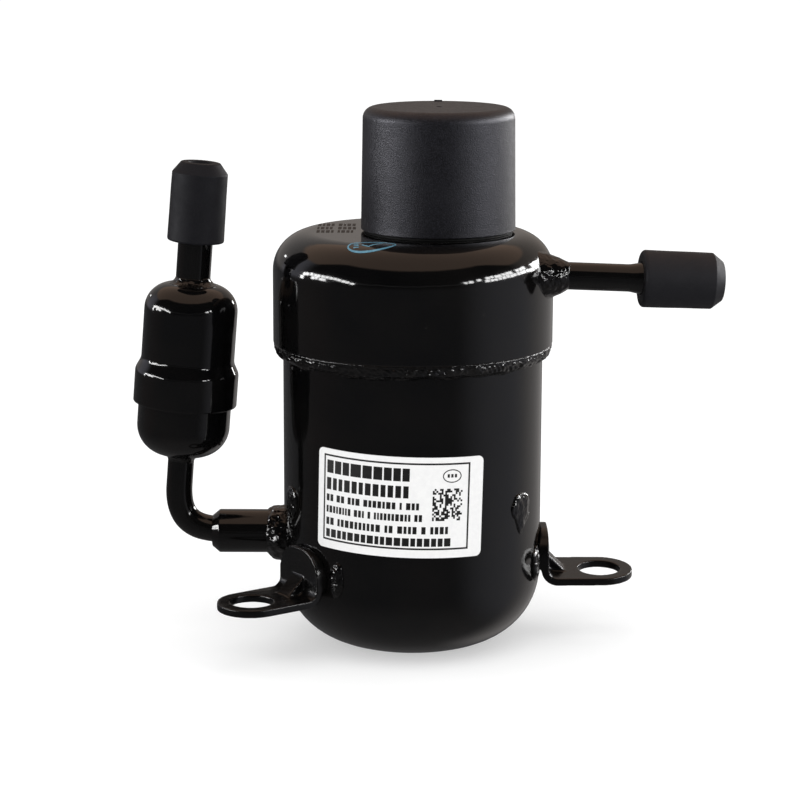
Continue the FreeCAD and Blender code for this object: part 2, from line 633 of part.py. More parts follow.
def casing():
    wall = d["shell_wall"]
    inner = d["shell_r"] - wall
    lower = turned("lower_shell_blank", [
        (0, 0), (d["shell_r"], 0), (d["shell_r"], d["shell_rim"]),
        (inner, d["shell_rim"]), (inner, wall), (0, wall)])
    dress(lower, "Fillet", d["shell_corner"], ring_edge(d["shell_r"], 0))
    dress(lower, "Fillet", d["shell_corner"] - wall, ring_edge(inner, wall))
    holes = [
        cylinder(d["plug_weld_hole"], d["shell_r"] + CLEAR, z=d["plug_weld_z"], turn=radial(angle))
        for angle in PLUG_WELD_ANGLES]
    holes.append(cylinder(d["stub_r"], d["shell_r"] + CLEAR, z=d["suction_z"], turn=radial(180)))
    node(cut(lower, *holes), "lower_shell")

    upper = turned("upper_shell_blank", [
        (0, d["cap_top"] - wall), (d["shell_r"], d["cap_top"] - wall), (d["shell_r"], d["cap_rim"]),
        (d["cap_r"], d["cap_rim"]), (d["cap_r"], d["cap_top"]), (0, d["cap_top"])])
    dress(upper, "Fillet", d["cap_corner"], ring_edge(d["cap_r"], d["cap_top"]))
    dress(upper, "Fillet", d["cap_corner"] - wall, ring_edge(d["shell_r"], d["cap_top"] - wall))
    opening = cylinder(d["terminal_r"], wall * 3, d["terminal_x"], 0, d["cap_top"] - wall * 2)
    outlet = tube_piece(cylinder(d["tube_r"], d["tube_in"] * 3), -d["tube_in"])
    node(cut(upper, opening, outlet), "upper_shell")

    node(turned("girth_weld", [
        (d["shell_r"], d["girth_low"]), (d["shell_r"] + d["girth_bulge"], d["girth_low"]),
        (d["cap_r"], d["cap_rim"] - d["girth_bulge"]), (d["cap_r"], d["cap_rim"]),
        (d["shell_r"], d["cap_rim"])]), "girth_weld")


def tube_turn():
    """The discharge tube's local Z axis, turned along the tube."""
    lean = FreeCAD.Rotation(V(0, 1, 0), 90 + d["tube_droop"].value)
    return about_z(d["tube_yaw"].value) * lean


def tube_piece(obj, along=0):
    """Places a piece that was modelled with the discharge tube's axis as its Z axis."""
    ahead = tube_turn().multVec(V(0, 0, 1))
    shift = [size(along) * round(number, 9) for number in ahead]
    return place(
        obj, d["tube_x"] + shift[0], -d["tube_y"] + shift[1], d["tube_z"] + shift[2], tube_turn())


def plug_welds():
    heads = []
    for angle in PLUG_WELD_ANGLES:
        core = cylinder(
            d["plug_weld_hole"], d["shell_wall"] + d["plug_weld_deep"],
            *at_radius(d["flange_r"], angle), d["plug_weld_z"], radial(angle))
        sunk = d["shell_r"] + d["plug_weld_head"] - d["shell_wall"]
        head = cylinder(
            d["plug_weld_r"], d["shell_wall"], *at_radius(sunk, angle), d["plug_weld_z"], radial(angle))
        proud = cut(head, cylinder(d["shell_r"], d["shell_rim"]))
        heads.append(fuse(core, proud))
    node(group(*heads), "plug_welds")


def at_radius(radius, angle):
    turn = math.radians(angle)
    return radius * round(math.cos(turn), 9), radius * round(math.sin(turn), 9)


# Feet


def flat_edge(x=None, y=None, z=None):
    """Picks the straight edges whose middle has these coordinates, y on either side."""
    wanted_at = [size(number).value if number is not None else None for number in (x, y, z)]

    def wanted(edge):
        middle = edge.CenterOfMass
        spots = (middle.x, abs(middle.y), middle.z)
        return isinstance(edge.Curve, Part.Line) and all(
            goal is None or abs(spot - goal) < NEAR for spot, goal in zip(spots, wanted_at))

    return wanted


def bend_relief(angle):
    """What is taken off under a foot's bend, so that its outside is as round as its inside."""
    low = d["foot_top"] - d["foot_plate"] - CLEAR
    wide = d["foot_half"] + CLEAR
    along = d["shell_r"] + d["foot_plate"] + d["foot_bend"]
    high = d["foot_top"] + d["foot_bend"]
    corner = box(
        along - d["foot_blank"], wide * 2, high - low,
        *offset(d["foot_blank"], -wide, angle), low, about_z(angle))
    outside = cylinder(
        d["foot_bend"] + d["foot_plate"], wide * 2, *offset(along, -wide, angle), high,
        radial(angle + 90))
    return cut(corner, outside)


def feet():
    """Three angle feet, each with a dart in its bend, and the weld beads at their edges."""
    low = d["foot_top"] - d["foot_plate"]
    half = d["foot_half"]
    for name, angle in FOOT_ANGLES.items():
        turn = about_z(angle)
        body = new_body(f"{name}_blank")
        plate = sketch_on(body, "XY_Plane", low)
        rectangle(plate, d["foot_blank"], -half, d["foot_pitch"], half)
        pad(body, plate, d["foot_plate"])
        nose = sketch_on(body, "XY_Plane", low)
        circle(nose, half, d["foot_pitch"], 0)
        pad(body, nose, d["foot_plate"])
        upright = sketch_on(body, "XY_Plane", low)
        face = d["shell_r"] + d["foot_plate"]
        rectangle(upright, d["foot_blank"], -half, face, half)
        pad(body, upright, d["foot_flange"] - low)
        dress(body, "Fillet", d["foot_corner"], flat_edge(y=half, z=d["foot_flange"]))
        dress(body, "Fillet", d["foot_bend"], flat_edge(x=face, z=d["foot_top"]))
        rib = sketch_on(body)
        polygon(rib, [
            (d["shell_r"], d["foot_top"]), (face + d["dart"], d["foot_top"]),
            (d["shell_r"], d["foot_top"] + d["dart"] + d["foot_plate"])])
        pad(body, rib, d["dart_width"], both=True)
        drill(body, [(d["foot_hole"], d["foot_pitch"], 0)])
        place(body, turn=turn)
        room = cylinder(d["shell_r"], d["foot_flange"] + CLEAR)
        node(cut(body, room, bend_relief(angle)), name)

    shell = cylinder(d["shell_r"], d["foot_flange"] + CLEAR)
    foot_rooms = [
        box(d["foot_blank"], half * 2, d["foot_flange"],
            *offset(d["foot_blank"], -half, angle), 0, about_z(angle))
        for angle in FOOT_ANGLES.values()]
    beads = []
    for angle, radius in FOOT_WELDS.items():
        sunk = d["shell_r"] + d["bead_head"] - d["shell_wall"]
        bead = cylinder(
            d[radius], d["shell_wall"], *at_radius(sunk, angle), d["bead_z"], radial(angle))
        beads.append(cut(bead, shell, *foot_rooms))
    node(group(*beads), "foot_welds")


# Terminal and its cover


def terminal():
    """The three-pin glass terminal, the connector under it and the cover's ring and gasket."""
    x = d["terminal_x"]
    ceiling = d["cap_top"] - d["shell_wall"]
    low = ceiling - d["terminal_lip"]
    crown = d["cap_top"] + d["terminal_proud"]
    body = turned("terminal_body", [
        (0, low), (d["terminal_flange"], low), (d["terminal_flange"], ceiling),
        (d["terminal_r"], ceiling), (d["terminal_r"], crown), (0, crown)])
    drill(body, on_circle(d["glass_r"], d["pin_pitch"], PIN_ANGLES))
    node(place(body, x), "terminal_body")

    seals = []
    pin_names = ("terminal_pin_common", "terminal_pin_left", "terminal_pin_right")
    for name, angle in zip(pin_names, PIN_ANGLES):
        px, py = at_radius(d["pin_pitch"], angle)
        pin = turned(name, [
            (0, d["pin_low"]), (d["pin_core"], d["pin_low"]), (d["pin_core"], d["pin_shoulder"]),
            (d["pin_r"], d["pin_shoulder"]), (d["pin_r"], d["pin_top"]), (0, d["pin_top"])])
        node(place(pin, px + x, py), name)
        bead = cylinder(
            d["glass_r"], d["cap_top"] + d["glass_proud"] - low, px + x, py, low)
        core = cylinder(d["pin_core"], d["pin_top"] - d["pin_low"], px + x, py, d["pin_low"])
        seals.append(cut(bead, core))
    node(group(*seals), "glass_seals")

    connector = turned("inner_connector", [
        (0, d["connector_low"]), (d["connector_r"], d["connector_low"]),
        (d["connector_r"], d["connector_top"]), (0, d["connector_top"])])
    drill(connector, on_circle(d["pin_core"] + d["screw_fit"], d["pin_pitch"], PIN_ANGLES))
    dress(connector, "Fillet", d["connector_edge"], ring_edge(d["connector_r"], d["connector_top"]))
    node(place(connector, x), "inner_connector")

    inner = d["fence_r"] - d["fence_wall"]
    ring = turned("cover_fence", [
        (inner, d["cap_top"]), (d["fence_r"], d["cap_top"]),
        (d["fence_r"], d["fence_top"]), (inner, d["fence_top"])])
    node(place(ring, x), "cover_fence")

    gasket = turned("cover_gasket", [
        (d["gasket_inner"], d["cap_top"]), (d["gasket_outer"], d["cap_top"]),
        (d["gasket_outer"], d["gasket_top"]), (d["gasket_inner"], d["gasket_top"])])
    node(place(gasket, x), "cover_gasket")


def terminal_cover():
    """The plastic cap over the terminal, with its gate dimple and a small nib at the back of its top."""
    wall = d["cover_wall"]
    cover = turned("terminal_cover", [
        (d["cover_r"] - wall, d["gasket_top"]), (d["cover_r"], d["gasket_top"]),
        (d["cover_top_r"], d["cover_top"]), (0, d["cover_top"]),
        (0, d["cover_top"] - wall), (d["cover_top_r"] - wall, d["cover_top"] - wall)])
    dress(cover, "Fillet", d["cover_edge"], ring_edge(d["cover_top_r"], d["cover_top"]))
    gate = sketch_on(cover, "XY_Plane", d["cover_top"])
    circle(gate, d["gate_r"])
    pocket(cover, gate, d["gate_depth"], both=False)
    nib = sketch_on(cover, "XY_Plane", d["cover_top"])
    rectangle(nib, -d["nib_half"], d["nib_from"], d["nib_half"], d["nib_to"])
    pad(cover, nib, d["nib_high"])
    node(place(cover, d["terminal_x"]), "terminal_cover")


# Discharge side


def plug_outline(low, top, bore, depth):
    """Half section of a rubber plug, open at its lower end."""
    tip = d["plug_r"] - d["plug_taper"]
    return [
        (bore, low), (d["plug_r"], low), (tip, top - d["plug_tip"]), (d["plug_tip_r"], top),
        (0, top), (0, depth), (bore, depth)]


def discharge():
    r, bore = d["tube_r"], d["tube_bore"]
    tube = turned("discharge_tube", [
        (bore, -d["tube_in"]), (r, -d["tube_in"]), (r, d["socket_from"]),
        (d["socket_r"], d["socket_seat"]), (d["socket_r"], d["tube_out"]),
        (d["socket_bore"], d["tube_out"]), (d["socket_bore"], d["socket_seat"]),
        (bore, d["socket_from"])])
    node(tube_piece(tube), "discharge_tube")

    end = d["braze_end"]
    collar = turned("discharge_collar", [
        (r, -end), (d["braze_r"], -end), (d["braze_r"], end / 7), (d["braze_knee"], end / 2),
        (d["braze_neck"], end * 3 / 4), (r, end)])
    node(cut(tube_piece(collar), cylinder(d["cap_r"], d["cap_top"])), "discharge_braze")

    bore = d["socket_r"] + d["plug_fit"]
    plug = turned("discharge_plug", plug_outline(
        d["plug_low"], d["plug_top"], bore, d["tube_out"] + d["plug_floor"]))
    dress(plug, "Fillet", d["plug_rim"], ring_edge(d["plug_r"], d["plug_low"]))
    dress(plug, "Fillet", d["plug_edge"], ring_edge(d["plug_tip_r"], d["plug_top"]))
    node(tube_piece(plug), "discharge_plug")


# Suction side


def leaning(obj):
    """Places a piece that was modelled with the accumulator's axis as its Z axis."""
    return place(obj, -d["acc_x"], 0, d["acc_z"], FreeCAD.Rotation(V(0, 1, 0), d["acc_lean"].value))


def suction():
    bore, r = d["elbow_bore"], d["elbow_r"]
    stub = turned("suction_stub", [
        (d["stub_bore"], d["stub_from"]), (d["stub_r"], d["stub_from"]),
        (d["stub_r"], d["stub_shoulder"]), (d["stub_bore"] + d["stub_lip"], d["stub_tip"]),
        (d["stub_bore"], d["stub_tip"])])
    node(place(stub, z=d["suction_z"], turn=radial(180)), "suction_stub")

    collar = turned("stub_collar", [
        (d["stub_r"], d["stub_from"]), (d["collar_r"], d["stub_from"]),
        (d["collar_r"], d["collar_knee"]), (d["collar_neck_r"], d["collar_neck"]),
        (d["stub_r"], d["collar_end"])])
    place(collar, z=d["suction_z"], turn=radial(180))
    node(cut(collar, cylinder(d["shell_r"], d["shell_rim"])), "suction_weld")

    liner = turned("suction_liner", [
        (bore, d["liner_from"]), (r, d["liner_from"]), (r, d["liner_to"]), (bore, d["liner_to"])])
    node(place(liner, z=d["suction_z"], turn=radial(180)), "suction_liner")

    lean = math.tan(math.radians(d["acc_lean"].value))
    tangent = Size(lean, "tan(Sizes.acc_lean * 1deg)")
    rise = d["acc_z"] - d["suction_z"]
    corner = (-(d["acc_x"] + rise * tangent), d["suction_z"])
    top = (-(d["acc_x"] - d["standpipe"] * tangent), d["acc_z"] + d["standpipe"])
    elbow = bent_tube(
        "suction_elbow", (-d["elbow_start"], d["suction_z"]), corner, top,
        d["elbow_bend"], r, bore, "YZ_Plane")
    node(elbow, "suction_elbow")


def accumulator():
    wall = d["acc_wall"]
    r = d["acc_r"]
    lower = turned("accumulator_lower", [
        (d["elbow_r"], 0), (r, 0), (r, d["acc_seam"]), (r - wall, d["acc_seam"]),
        (r - wall, wall), (d["elbow_r"], wall)])
    dress(lower, "Fillet", d["acc_corner"], ring_edge(r, 0))
    dress(lower, "Fillet", d["acc_corner"] - wall, ring_edge(r - wall, wall))
    node(leaning(lower), "accumulator_lower")

    top = d["acc_len"]
    upper = turned("accumulator_upper", [
        (d["inlet_r"], top), (r, top), (r, d["band_end"]), (d["band_r"], d["band_high"]),
        (d["band_r"], d["band_low"]), (r, d["band_low"]), (r, d["acc_seam"]),
        (r - wall, d["band_end"]), (r - wall, top - wall), (d["inlet_r"], top - wall)])
    dress(upper, "Fillet", d["acc_shoulder"], ring_edge(r, top))
    dress(upper, "Fillet", d["acc_shoulder"] - wall, ring_edge(r - wall, top - wall))
    dress(upper, "Fillet", d["band_edge"], ring_edge(d["band_r"], d["band_high"]))
    dress(upper, "Fillet", d["band_edge"], ring_edge(r, d["band_end"]))
    node(leaning(upper), "accumulator_upper")

    baffle_top = d["baffle_low"] + d["baffle_sheet"]
    baffle = turned("accumulator_baffle", [
        (0, d["baffle_low"]), (r - wall, d["baffle_low"]), (r - wall, baffle_top), (0, baffle_top)])
    drill(baffle, on_circle(d["baffle_hole"], d["baffle_pitch"], TOOTH_ANGLES))
    node(leaning(baffle), "accumulator_baffle")

    mesh = d["screen_wall"]
    knee = d["screen_low"] + mesh * 2
    screen = turned("inlet_screen", [
        (0, d["screen_low"]), (d["screen_r"], d["screen_low"]), (d["inlet_r"] + mesh, knee),
        (d["inlet_r"] + mesh, d["screen_top"]), (d["inlet_r"], d["screen_top"]),
        (d["inlet_r"], knee + mesh), (d["screen_r"] - mesh / 2, d["screen_low"] + mesh),
        (0, d["screen_low"] + mesh)])
    node(leaning(screen), "inlet_screen")

    inlet = turned("suction_inlet", [
        (d["inlet_bore"], d["inlet_low"]), (d["inlet_r"], d["inlet_low"]),
        (d["inlet_r"], d["inlet_top"]), (d["inlet_bore"], d["inlet_top"])])
    node(leaning(inlet), "suction_inlet")

    leg = d["braze_leg"]
    inlet_ring = turned("inlet_ring", [
        (d["inlet_r"], top), (d["inlet_r"] + leg, top), (d["inlet_r"], top + leg)])
    outlet_ring = turned("outlet_ring", [
        (d["elbow_r"], 0), (d["elbow_r"], -leg), (d["elbow_r"] + leg, 0)])
    node(group(leaning(inlet_ring), leaning(outlet_ring)), "accumulator_brazes")

    bore = d["inlet_r"] + d["plug_fit"]
    plug = turned("suction_plug", plug_outline(
        d["cork_low"], d["cork_top"], bore, d["inlet_top"] + d["plug_floor"]))
    dress(plug, "Fillet", d["plug_edge"], ring_edge(d["plug_r"], d["cork_low"]))
    dress(plug, "Fillet", d["plug_edge"], ring_edge(d["plug_tip_r"], d["cork_top"]))
    recess = sketch_on(plug, "XY_Plane", d["cork_top"])
    circle(recess, d["cork_recess"])
    pocket(plug, recess, d["cork_sunk"], both=False)
    node(leaning(plug), "suction_plug")


def rating_label():
    body = new_body("rating_label")
    sketch = sketch_on(body, "XY_Plane", d["label_low"])
    sector(sketch, d["shell_r"], d["shell_r"] + d["label_skin"], *LABEL_ANGLES)
    pad(body, sketch, d["label_high"] - d["label_low"])
    node(body, "rating_label")


# Pump


def pump():
    low = d["pump_low"]
    top = low + d["pump_height"]
    fit = d["running_fit"]
    screws = on_circle(d["bolt_r"] + d["screw_fit"], d["bolt_pitch"], BOLT_ANGLES)

    block = turned("cylinder_blank", [
        (d["bore_r"], low), (d["cylinder_r"], low), (d["cylinder_r"], top), (d["bore_r"], top)])
    drill(block, screws)
    slot_width = d["vane_thick"] + fit * 2
    slot = box(
        d["slot_long"], slot_width, d["pump_height"] + 2 * CLEAR,
        *offset(d["slot_start"], -slot_width / 2, VANE_ANGLE), low - CLEAR, about_z(VANE_ANGLE))
    side_holes = [
        cylinder(radius, d["side_hole"], *at_radius(start, angle), d["suction_z"], radial(angle))
        for radius, start, angle in (
            (d["spring_hole"], d["spring_from"], VANE_ANGLE),
            (d["stub_bore"], d["inlet_seat"], 180),
            (d["elbow_bore"], d["slot_start"], 180))]
    node(cut(block, slot, *side_holes), "pump_cylinder")

    main_top = top + d["main_plate"]
    r = d["flange_r"]
    main = turned("main_bearing_blank", [
        (d["shaft_r"] + fit, top), (r, top), (r, d["main_rim"]),
        (r - d["rim_wall"], d["main_rim"]), (r - d["rim_wall"], main_top),
        (d["main_hub_r"], main_top), (d["main_hub_r"], d["main_hub"]),
        (d["shaft_r"] + fit, d["main_hub"])])
    drill(main, screws + on_circle(d["port_r"], d["port_pitch"], [PORT_ANGLE]))
    dress(main, "Fillet", d["hub_root"], ring_edge(d["main_hub_r"], main_top))
    rivet_seat = cylinder(
        d["nail_r"], d["nail_deep"] + CLEAR, *reed_origin(), main_top - d["nail_deep"])
    node(cut(main, rivet_seat), "main_bearing")

    sub = turned("sub_bearing", [
        (d["journal_r"] + fit, low), (d["sub_r"], low), (d["sub_r"], low - d["sub_plate"]),
        (d["sub_hub_r"], low - d["sub_plate"]), (d["sub_hub_r"], d["sub_hub"]),
        (d["journal_r"] + fit, d["sub_hub"])])
    drill(sub, screws)
    node(sub, "sub_bearing")

    cam_low = low + d["cam_gap"]
    shaft = turned("shaft_blank", [
        (0, d["shaft_low"]), (d["journal_r"], d["shaft_low"]), (d["journal_r"], cam_low),
        (d["shaft_r"], cam_low), (d["shaft_r"], d["shaft_top"]), (0, d["shaft_top"])])
    cam = cylinder(
        d["eccentric_r"], top - d["cam_gap"] - cam_low,
        *at_radius(d["throw"], ECCENTRIC_ANGLE), cam_low)
    oil_way = cylinder(d["oil_bore"], d["oil_reach"] + CLEAR, z=d["shaft_low"] - CLEAR)
    feeds = [
        cylinder(d["feed_r"], d["eccentric_r"] + d["throw"] * 2, z=height, turn=radial(ECCENTRIC_ANGLE))
        for height in (d["suction_z"], d["feed_z"])]
    node(cut(fuse(shaft, cam), oil_way, *feeds), "crankshaft")
    node(box(
        d["paddle"], d["paddle_sheet"], d["paddle_long"],
        -d["paddle"] / 2, -d["paddle_sheet"] / 2, d["paddle_low"]), "oil_paddle")

    ring = turned("roller", [
        (d["eccentric_r"] + fit, low + fit), (d["roller_r"], low + fit),
        (d["roller_r"], top - fit), (d["eccentric_r"] + fit, top - fit)])
    node(place(ring, *at_radius(d["throw"], ECCENTRIC_ANGLE)), "roller")

    vane()
    valve(main_top)
    muffler(main_top)
    pump_bolts(main_top + d["muffler_sheet"])


def muffler(seat):
    """The pressed dome over the discharge valve, cut away under the bolt heads."""
    sheet = d["muffler_sheet"]
    dome = d["muffler_r"]
    top = d["muffler_top"]
    neck = d["main_hub_r"] + d["screw_fit"] * 2
    pressing = turned("discharge_muffler_blank", [
        (dome, seat), (d["muffler_flange"], seat), (d["muffler_flange"], seat + sheet),
        (dome, seat + sheet), (dome, top), (neck, top), (neck, top - sheet),
        (dome - sheet, top - sheet), (dome - sheet, seat)])
    dress(pressing, "Fillet", d["muffler_edge"], ring_edge(dome, top))
    screws = on_circle(d["bolt_r"] + d["screw_fit"], d["bolt_pitch"], BOLT_ANGLES)
    outlets = on_circle(d["muffler_hole"], d["muffler_pitch"], MUFFLER_OUTLETS)
    drill(pressing, screws + outlets)
    heads = [
        cylinder(d["head_room"], top, *at_radius(d["bolt_pitch"], angle), seat + sheet)
        for angle in BOLT_ANGLES]
    node(cut(pressing, *heads), "discharge_muffler")


def pump_bolts(seat):
    """The socket head bolts through muffler, main bearing, cylinder and sub bearing."""
    low = d["pump_low"] - d["sub_plate"]
    bolts = []
    for angle in BOLT_ANGLES:
        x, y = at_radius(d["bolt_pitch"], angle)
        shank = cylinder(d["bolt_r"], seat - low, x, y, low)
        head = cylinder(d["bolt_head_r"], d["bolt_head"], x, y, seat)
        socket = doc.addObject("Part::Prism", "Socket")
        socket.Polygon = 6
        bind(socket, Circumradius=d["bolt_socket"], Height=d["socket_deep"] + CLEAR)
        place(socket, x, y, seat + d["bolt_head"] - d["socket_deep"])
        bolts.append(cut(fuse(shank, head), socket))
    node(group(*bolts), "pump_bolts")


def offset(along, across, angle):
    """Bound x and y of a point given along and across a direction."""
    turn = math.radians(angle)
    c, s = round(math.cos(turn), 9), round(math.sin(turn), 9)
    return along * c - across * s, along * s + across * c


def vane():
    """The vane at the end of its outward stroke, flush with the bore, and its spring behind it."""
    fit = d["running_fit"]
    low = d["pump_low"] + fit
    half = d["vane_thick"] / 2
    nose = d["bore_r"] + d["vane_rest"]
    body = new_body("vane")
    plate = sketch_on(body, "XY_Plane", low)
    rectangle(plate, nose, -half, d["bore_r"] + d["vane_length"], half)
    pad(body, plate, d["pump_height"] - fit * 2)
    dress(body, "Fillet", d["vane_nose"], flat_edge(x=nose, y=half))
    node(place(body, turn=about_z(VANE_ANGLE)), "vane")

    helix = doc.addObject("Part::Helix", "SpringLine")
    length = d["flange_r"] - d["bore_r"] - d["vane_length"] - d["spring_wire"] * 3
    bind(helix, Radius=d["spring_r"], Height=length, Pitch=length / 4)
    wire = doc.addObject("Part::Circle", "SpringWire")
    bind(wire, Radius=d["spring_wire"])
    place(wire, d["spring_r"], 0, 0, FreeCAD.Rotation(V(1, 0, 0), 90))
    coil = doc.addObject("Part::Sweep", "Spring")
    coil.Sections = [wire]
    coil.Spine = (helix, ["Edge1"])
    coil.Solid = True
    coil.Frenet = True
    start = d["bore_r"] + d["vane_length"] + d["spring_wire"] * 1.5
    node(place(coil, *at_radius(start, VANE_ANGLE), d["suction_z"], radial(VANE_ANGLE)), "vane_spring")


def reed_origin():
    """The discharge valve's rivet, from which the reed reaches to the port."""
    px, py = at_radius(d["port_pitch"], PORT_ANGLE)
    bx, by = at_radius(d["reed_length"], REED_ANGLE)
    return px - bx, py - by


def valve(seat):
    """The reed over the discharge port, the curved stop above it and their rivet."""
    turn = about_z(REED_ANGLE)
    reed = new_body("discharge_valve")
    leaf = sketch_on(reed, "XY_Plane", seat + d["reed_gap"])
    rectangle(leaf, -d["reed_tail"], -d["reed_half"], d["reed_length"], d["reed_half"])
    pad(reed, leaf, d["reed_thick"])
    head = sketch_on(reed, "XY_Plane", seat + d["reed_gap"])
    circle(head, d["reed_head"], d["reed_length"], 0)
    pad(reed, head, d["reed_thick"])
    drill(reed, [(d["reed_eye"], 0, 0)])
    node(place(reed, *reed_origin(), 0, turn), "discharge_valve")

    stop = new_body("valve_stop")
    rest = seat + d["stop_gap"]
    thick = d["stop_thick"]
    reach = d["reed_length"] + d["stop_over"]
    profile = sketch_on(stop)
    polygon(profile, [
        (-d["reed_tail"], rest), (d["stop_root"], rest), (reach, rest + d["stop_rise"]),
        (reach, rest + d["stop_rise"] + thick), (d["stop_root"], rest + thick),
        (-d["reed_tail"], rest + thick)])
    pad(stop, profile, d["stop_width"], both=True)
    drill(stop, [(d["nail_r"], 0, 0)])
    node(place(stop, *reed_origin(), 0, turn), "valve_stop")

    deep = seat - d["nail_deep"]
    shank = cylinder(d["nail_r"], rest + thick - deep, *reed_origin(), deep)
    above_reed = seat + d["reed_gap"] * 2 + d["reed_thick"]
    collar = cylinder(d["nail_collar"], rest - above_reed, *reed_origin(), above_reed)
    head = cylinder(d["nail_head"], d["nail_high"], *reed_origin(), rest + thick)
    node(fuse(shank, collar, head), "valve_rivet")


# Motor


def stator():
    low, top = d["stack_low"], d["stack_top"]
    core = turned("stator_core", [
        (d["yoke_r"], low), (d["flange_r"], low), (d["flange_r"], top), (d["yoke_r"], top)])
    tooth = sketch_on(core, "XY_Plane", low)
    rectangle(tooth, d["tip_r"] - CLEAR, -d["tooth_half"], d["yoke_r"] + CLEAR, d["tooth_half"])
    teeth = pad(core, tooth, top - low)
    repeat(core, teeth, tooth, len(TOOTH_ANGLES))
    revolve(core, [(d["gap_r"], low), (d["tip_r"], low), (d["tip_r"], top), (d["gap_r"], top)])
    gap = sketch_on(core, "XY_Plane")
    rectangle(
        gap, d["gap_r"] - CLEAR, -d["slot_gap"] / 2, d["tip_r"] + CLEAR, d["slot_gap"] / 2)
    gap.AttachmentOffset = FreeCAD.Placement(V(0, 0, 0), about_z(TOOTH_ANGLES[1] / 2))
    gaps = pocket(core, gap)
    repeat(core, gaps, gap, len(TOOTH_ANGLES))
    node(core, "stator_core")

    coils = []
    over = d["coil_over"]
    for angle in TOOTH_ANGLES:
        body = new_body("coil")
        face = sketch_on(body, "YZ_Plane", d["coil_in"])
        rectangle(face, -d["coil_half"], low - over, d["coil_half"], top + over)
        pad(body, face, d["coil_out"] - d["coil_in"])
        window = sketch_on(body, "YZ_Plane")
        rectangle(
            window, -d["coil_window"], low - d["cap_sheet"], d["coil_window"], top + d["cap_sheet"])
        pocket(body, window)
        middle = (d["coil_in"] + d["coil_out"]) / 2
        dress(body, "Fillet", d["coil_edge"], flat_edge(x=middle, y=d["coil_half"]))
        coils.append(place(body, turn=about_z(angle)))
    node(group(*coils), "stator_coils")

    for name, face, up in (("slot_insulator_upper", top, 1), ("slot_insulator_lower", low, -1)):
        sheet = d["cap_sheet"] * up
        back = d["yoke_r"] + d["insulator_back"]
        front = d["gap_r"] + d["insulator_gap"]
        body = turned(name, [
            (d["yoke_r"], face), (back, face), (back, face + d["insulator_wall"] * up),
            (d["yoke_r"], face + d["insulator_wall"] * up)])
        spoke = sketch_on(body, "XY_Plane", face if up > 0 else face + sheet)
        rectangle(
            spoke, d["tip_r"] - CLEAR, -d["insulator_half"],
            d["yoke_r"] + CLEAR, d["insulator_half"])
        spokes = pad(body, spoke, d["cap_sheet"])
        repeat(body, spokes, spoke, len(TOOTH_ANGLES))
        revolve(body, [
            (front, face), (d["tip_r"], face), (d["tip_r"], face + d["insulator_front"] * up),
            (front, face + d["insulator_front"] * up)])
        node(body, name)


def with_eccentric(obj):
    """Turns a piece that was modelled with the eccentric towards its +X."""
    return place(obj, turn=about_z(ECCENTRIC_ANGLE))


def rotor():
    """The rotor on the crankshaft: one balance weight beside the eccentric, one opposite."""
    low, top = d["rotor_low"], d["rotor_top"]
    rivets = on_circle(d["rivet_r"], d["rivet_pitch"], RIVETS)
    core = turned("rotor_core", [
        (d["shaft_r"], low), (d["rotor_r"], low), (d["rotor_r"], top), (d["shaft_r"], top)])
    slot = sketch_on(core, "XY_Plane")
    fit = d["magnet_fit"]
    half = d["magnet_half"] + fit
    rectangle(slot, d["magnet_in"] - fit, -half, d["magnet_in"] + d["magnet_thick"] + fit, half)
    slots = pocket(core, slot)
    repeat(core, slots, slot, len(MAGNET_ANGLES))
    drill(core, rivets)
    node(with_eccentric(core), "rotor_core")

    magnets = []
    for angle in MAGNET_ANGLES:
        x, y = offset(d["magnet_in"], -d["magnet_half"], angle)
        magnets.append(box(
            d["magnet_thick"], d["magnet_half"] * 2, top - low, x, y, low, about_z(angle)))
    node(with_eccentric(group(*magnets)), "rotor_magnets")

    sheet = d["end_plate"]
    edge = d["rotor_r"] - d["end_plate_in"]
    for name, face in (("rotor_end_plate_upper", top), ("rotor_end_plate_lower", low - sheet)):
        plate = turned(name, [
            (d["shaft_r"], face), (edge, face), (edge, face + sheet), (d["shaft_r"], face + sheet)])
        drill(plate, rivets)
        node(with_eccentric(plate), name)

    weight = d["weight"]
    for side, face, middle in (("upper", top + sheet, 0), ("lower", low - sheet - weight, 180)):
        body = new_body(f"balance_weight_{side}")
        arc = sketch_on(body, "XY_Plane", face)
        sector(arc, d["weight_in"], d["weight_out"], middle - WEIGHT_SPAN, middle + WEIGHT_SPAN)
        pad(body, arc, weight)
        held = [angle for angle, by in RIVETS.items() if by == side]
        drill(body, on_circle(d["rivet_r"], d["rivet_pitch"], held))
        node(with_eccentric(body), f"balance_weight_{side}")

    pins = []
    head = d["rivet_head"]
    for angle, side in RIVETS.items():
        x, y = at_radius(d["rivet_pitch"], angle)
        foot = low - sheet - weight if side == "lower" else low - sheet
        brow = top + sheet + weight if side == "upper" else top + sheet
        shank = cylinder(d["rivet_r"], brow - foot, x, y, foot)
        ends = [
            cylinder(d["rivet_head_r"], head, x, y, foot - head),
            cylinder(d["rivet_head_r"], head, x, y, brow)]
        pins.append(fuse(shank, *ends))
    node(with_eccentric(group(*pins)), "rotor_rivets")


def leads():
    """Three leads from the coils up to the connector under the terminal."""
    wires = []
    foot = d["stack_top"] + d["coil_over"]
    rise = d["pin_low"] + d["lead_rise"] - foot
    for angle in LEAD_ANGLES:
        x, y = polar(d["lead_foot"].value, angle)
        ahead = d["terminal_x"].value - x
        run = math.hypot(ahead, y) - d["connector_r"].value
        heading = math.degrees(math.atan2(-y, ahead))
        wire = bent_tube(
            "lead", (0, 0), (0, rise), (run, rise), d["lead_bend"], d["lead_r"], None, "XY_Plane")
        wires.append(place(wire, x, y, foot, about_z(heading)))
    node(group(*wires), "motor_leads")


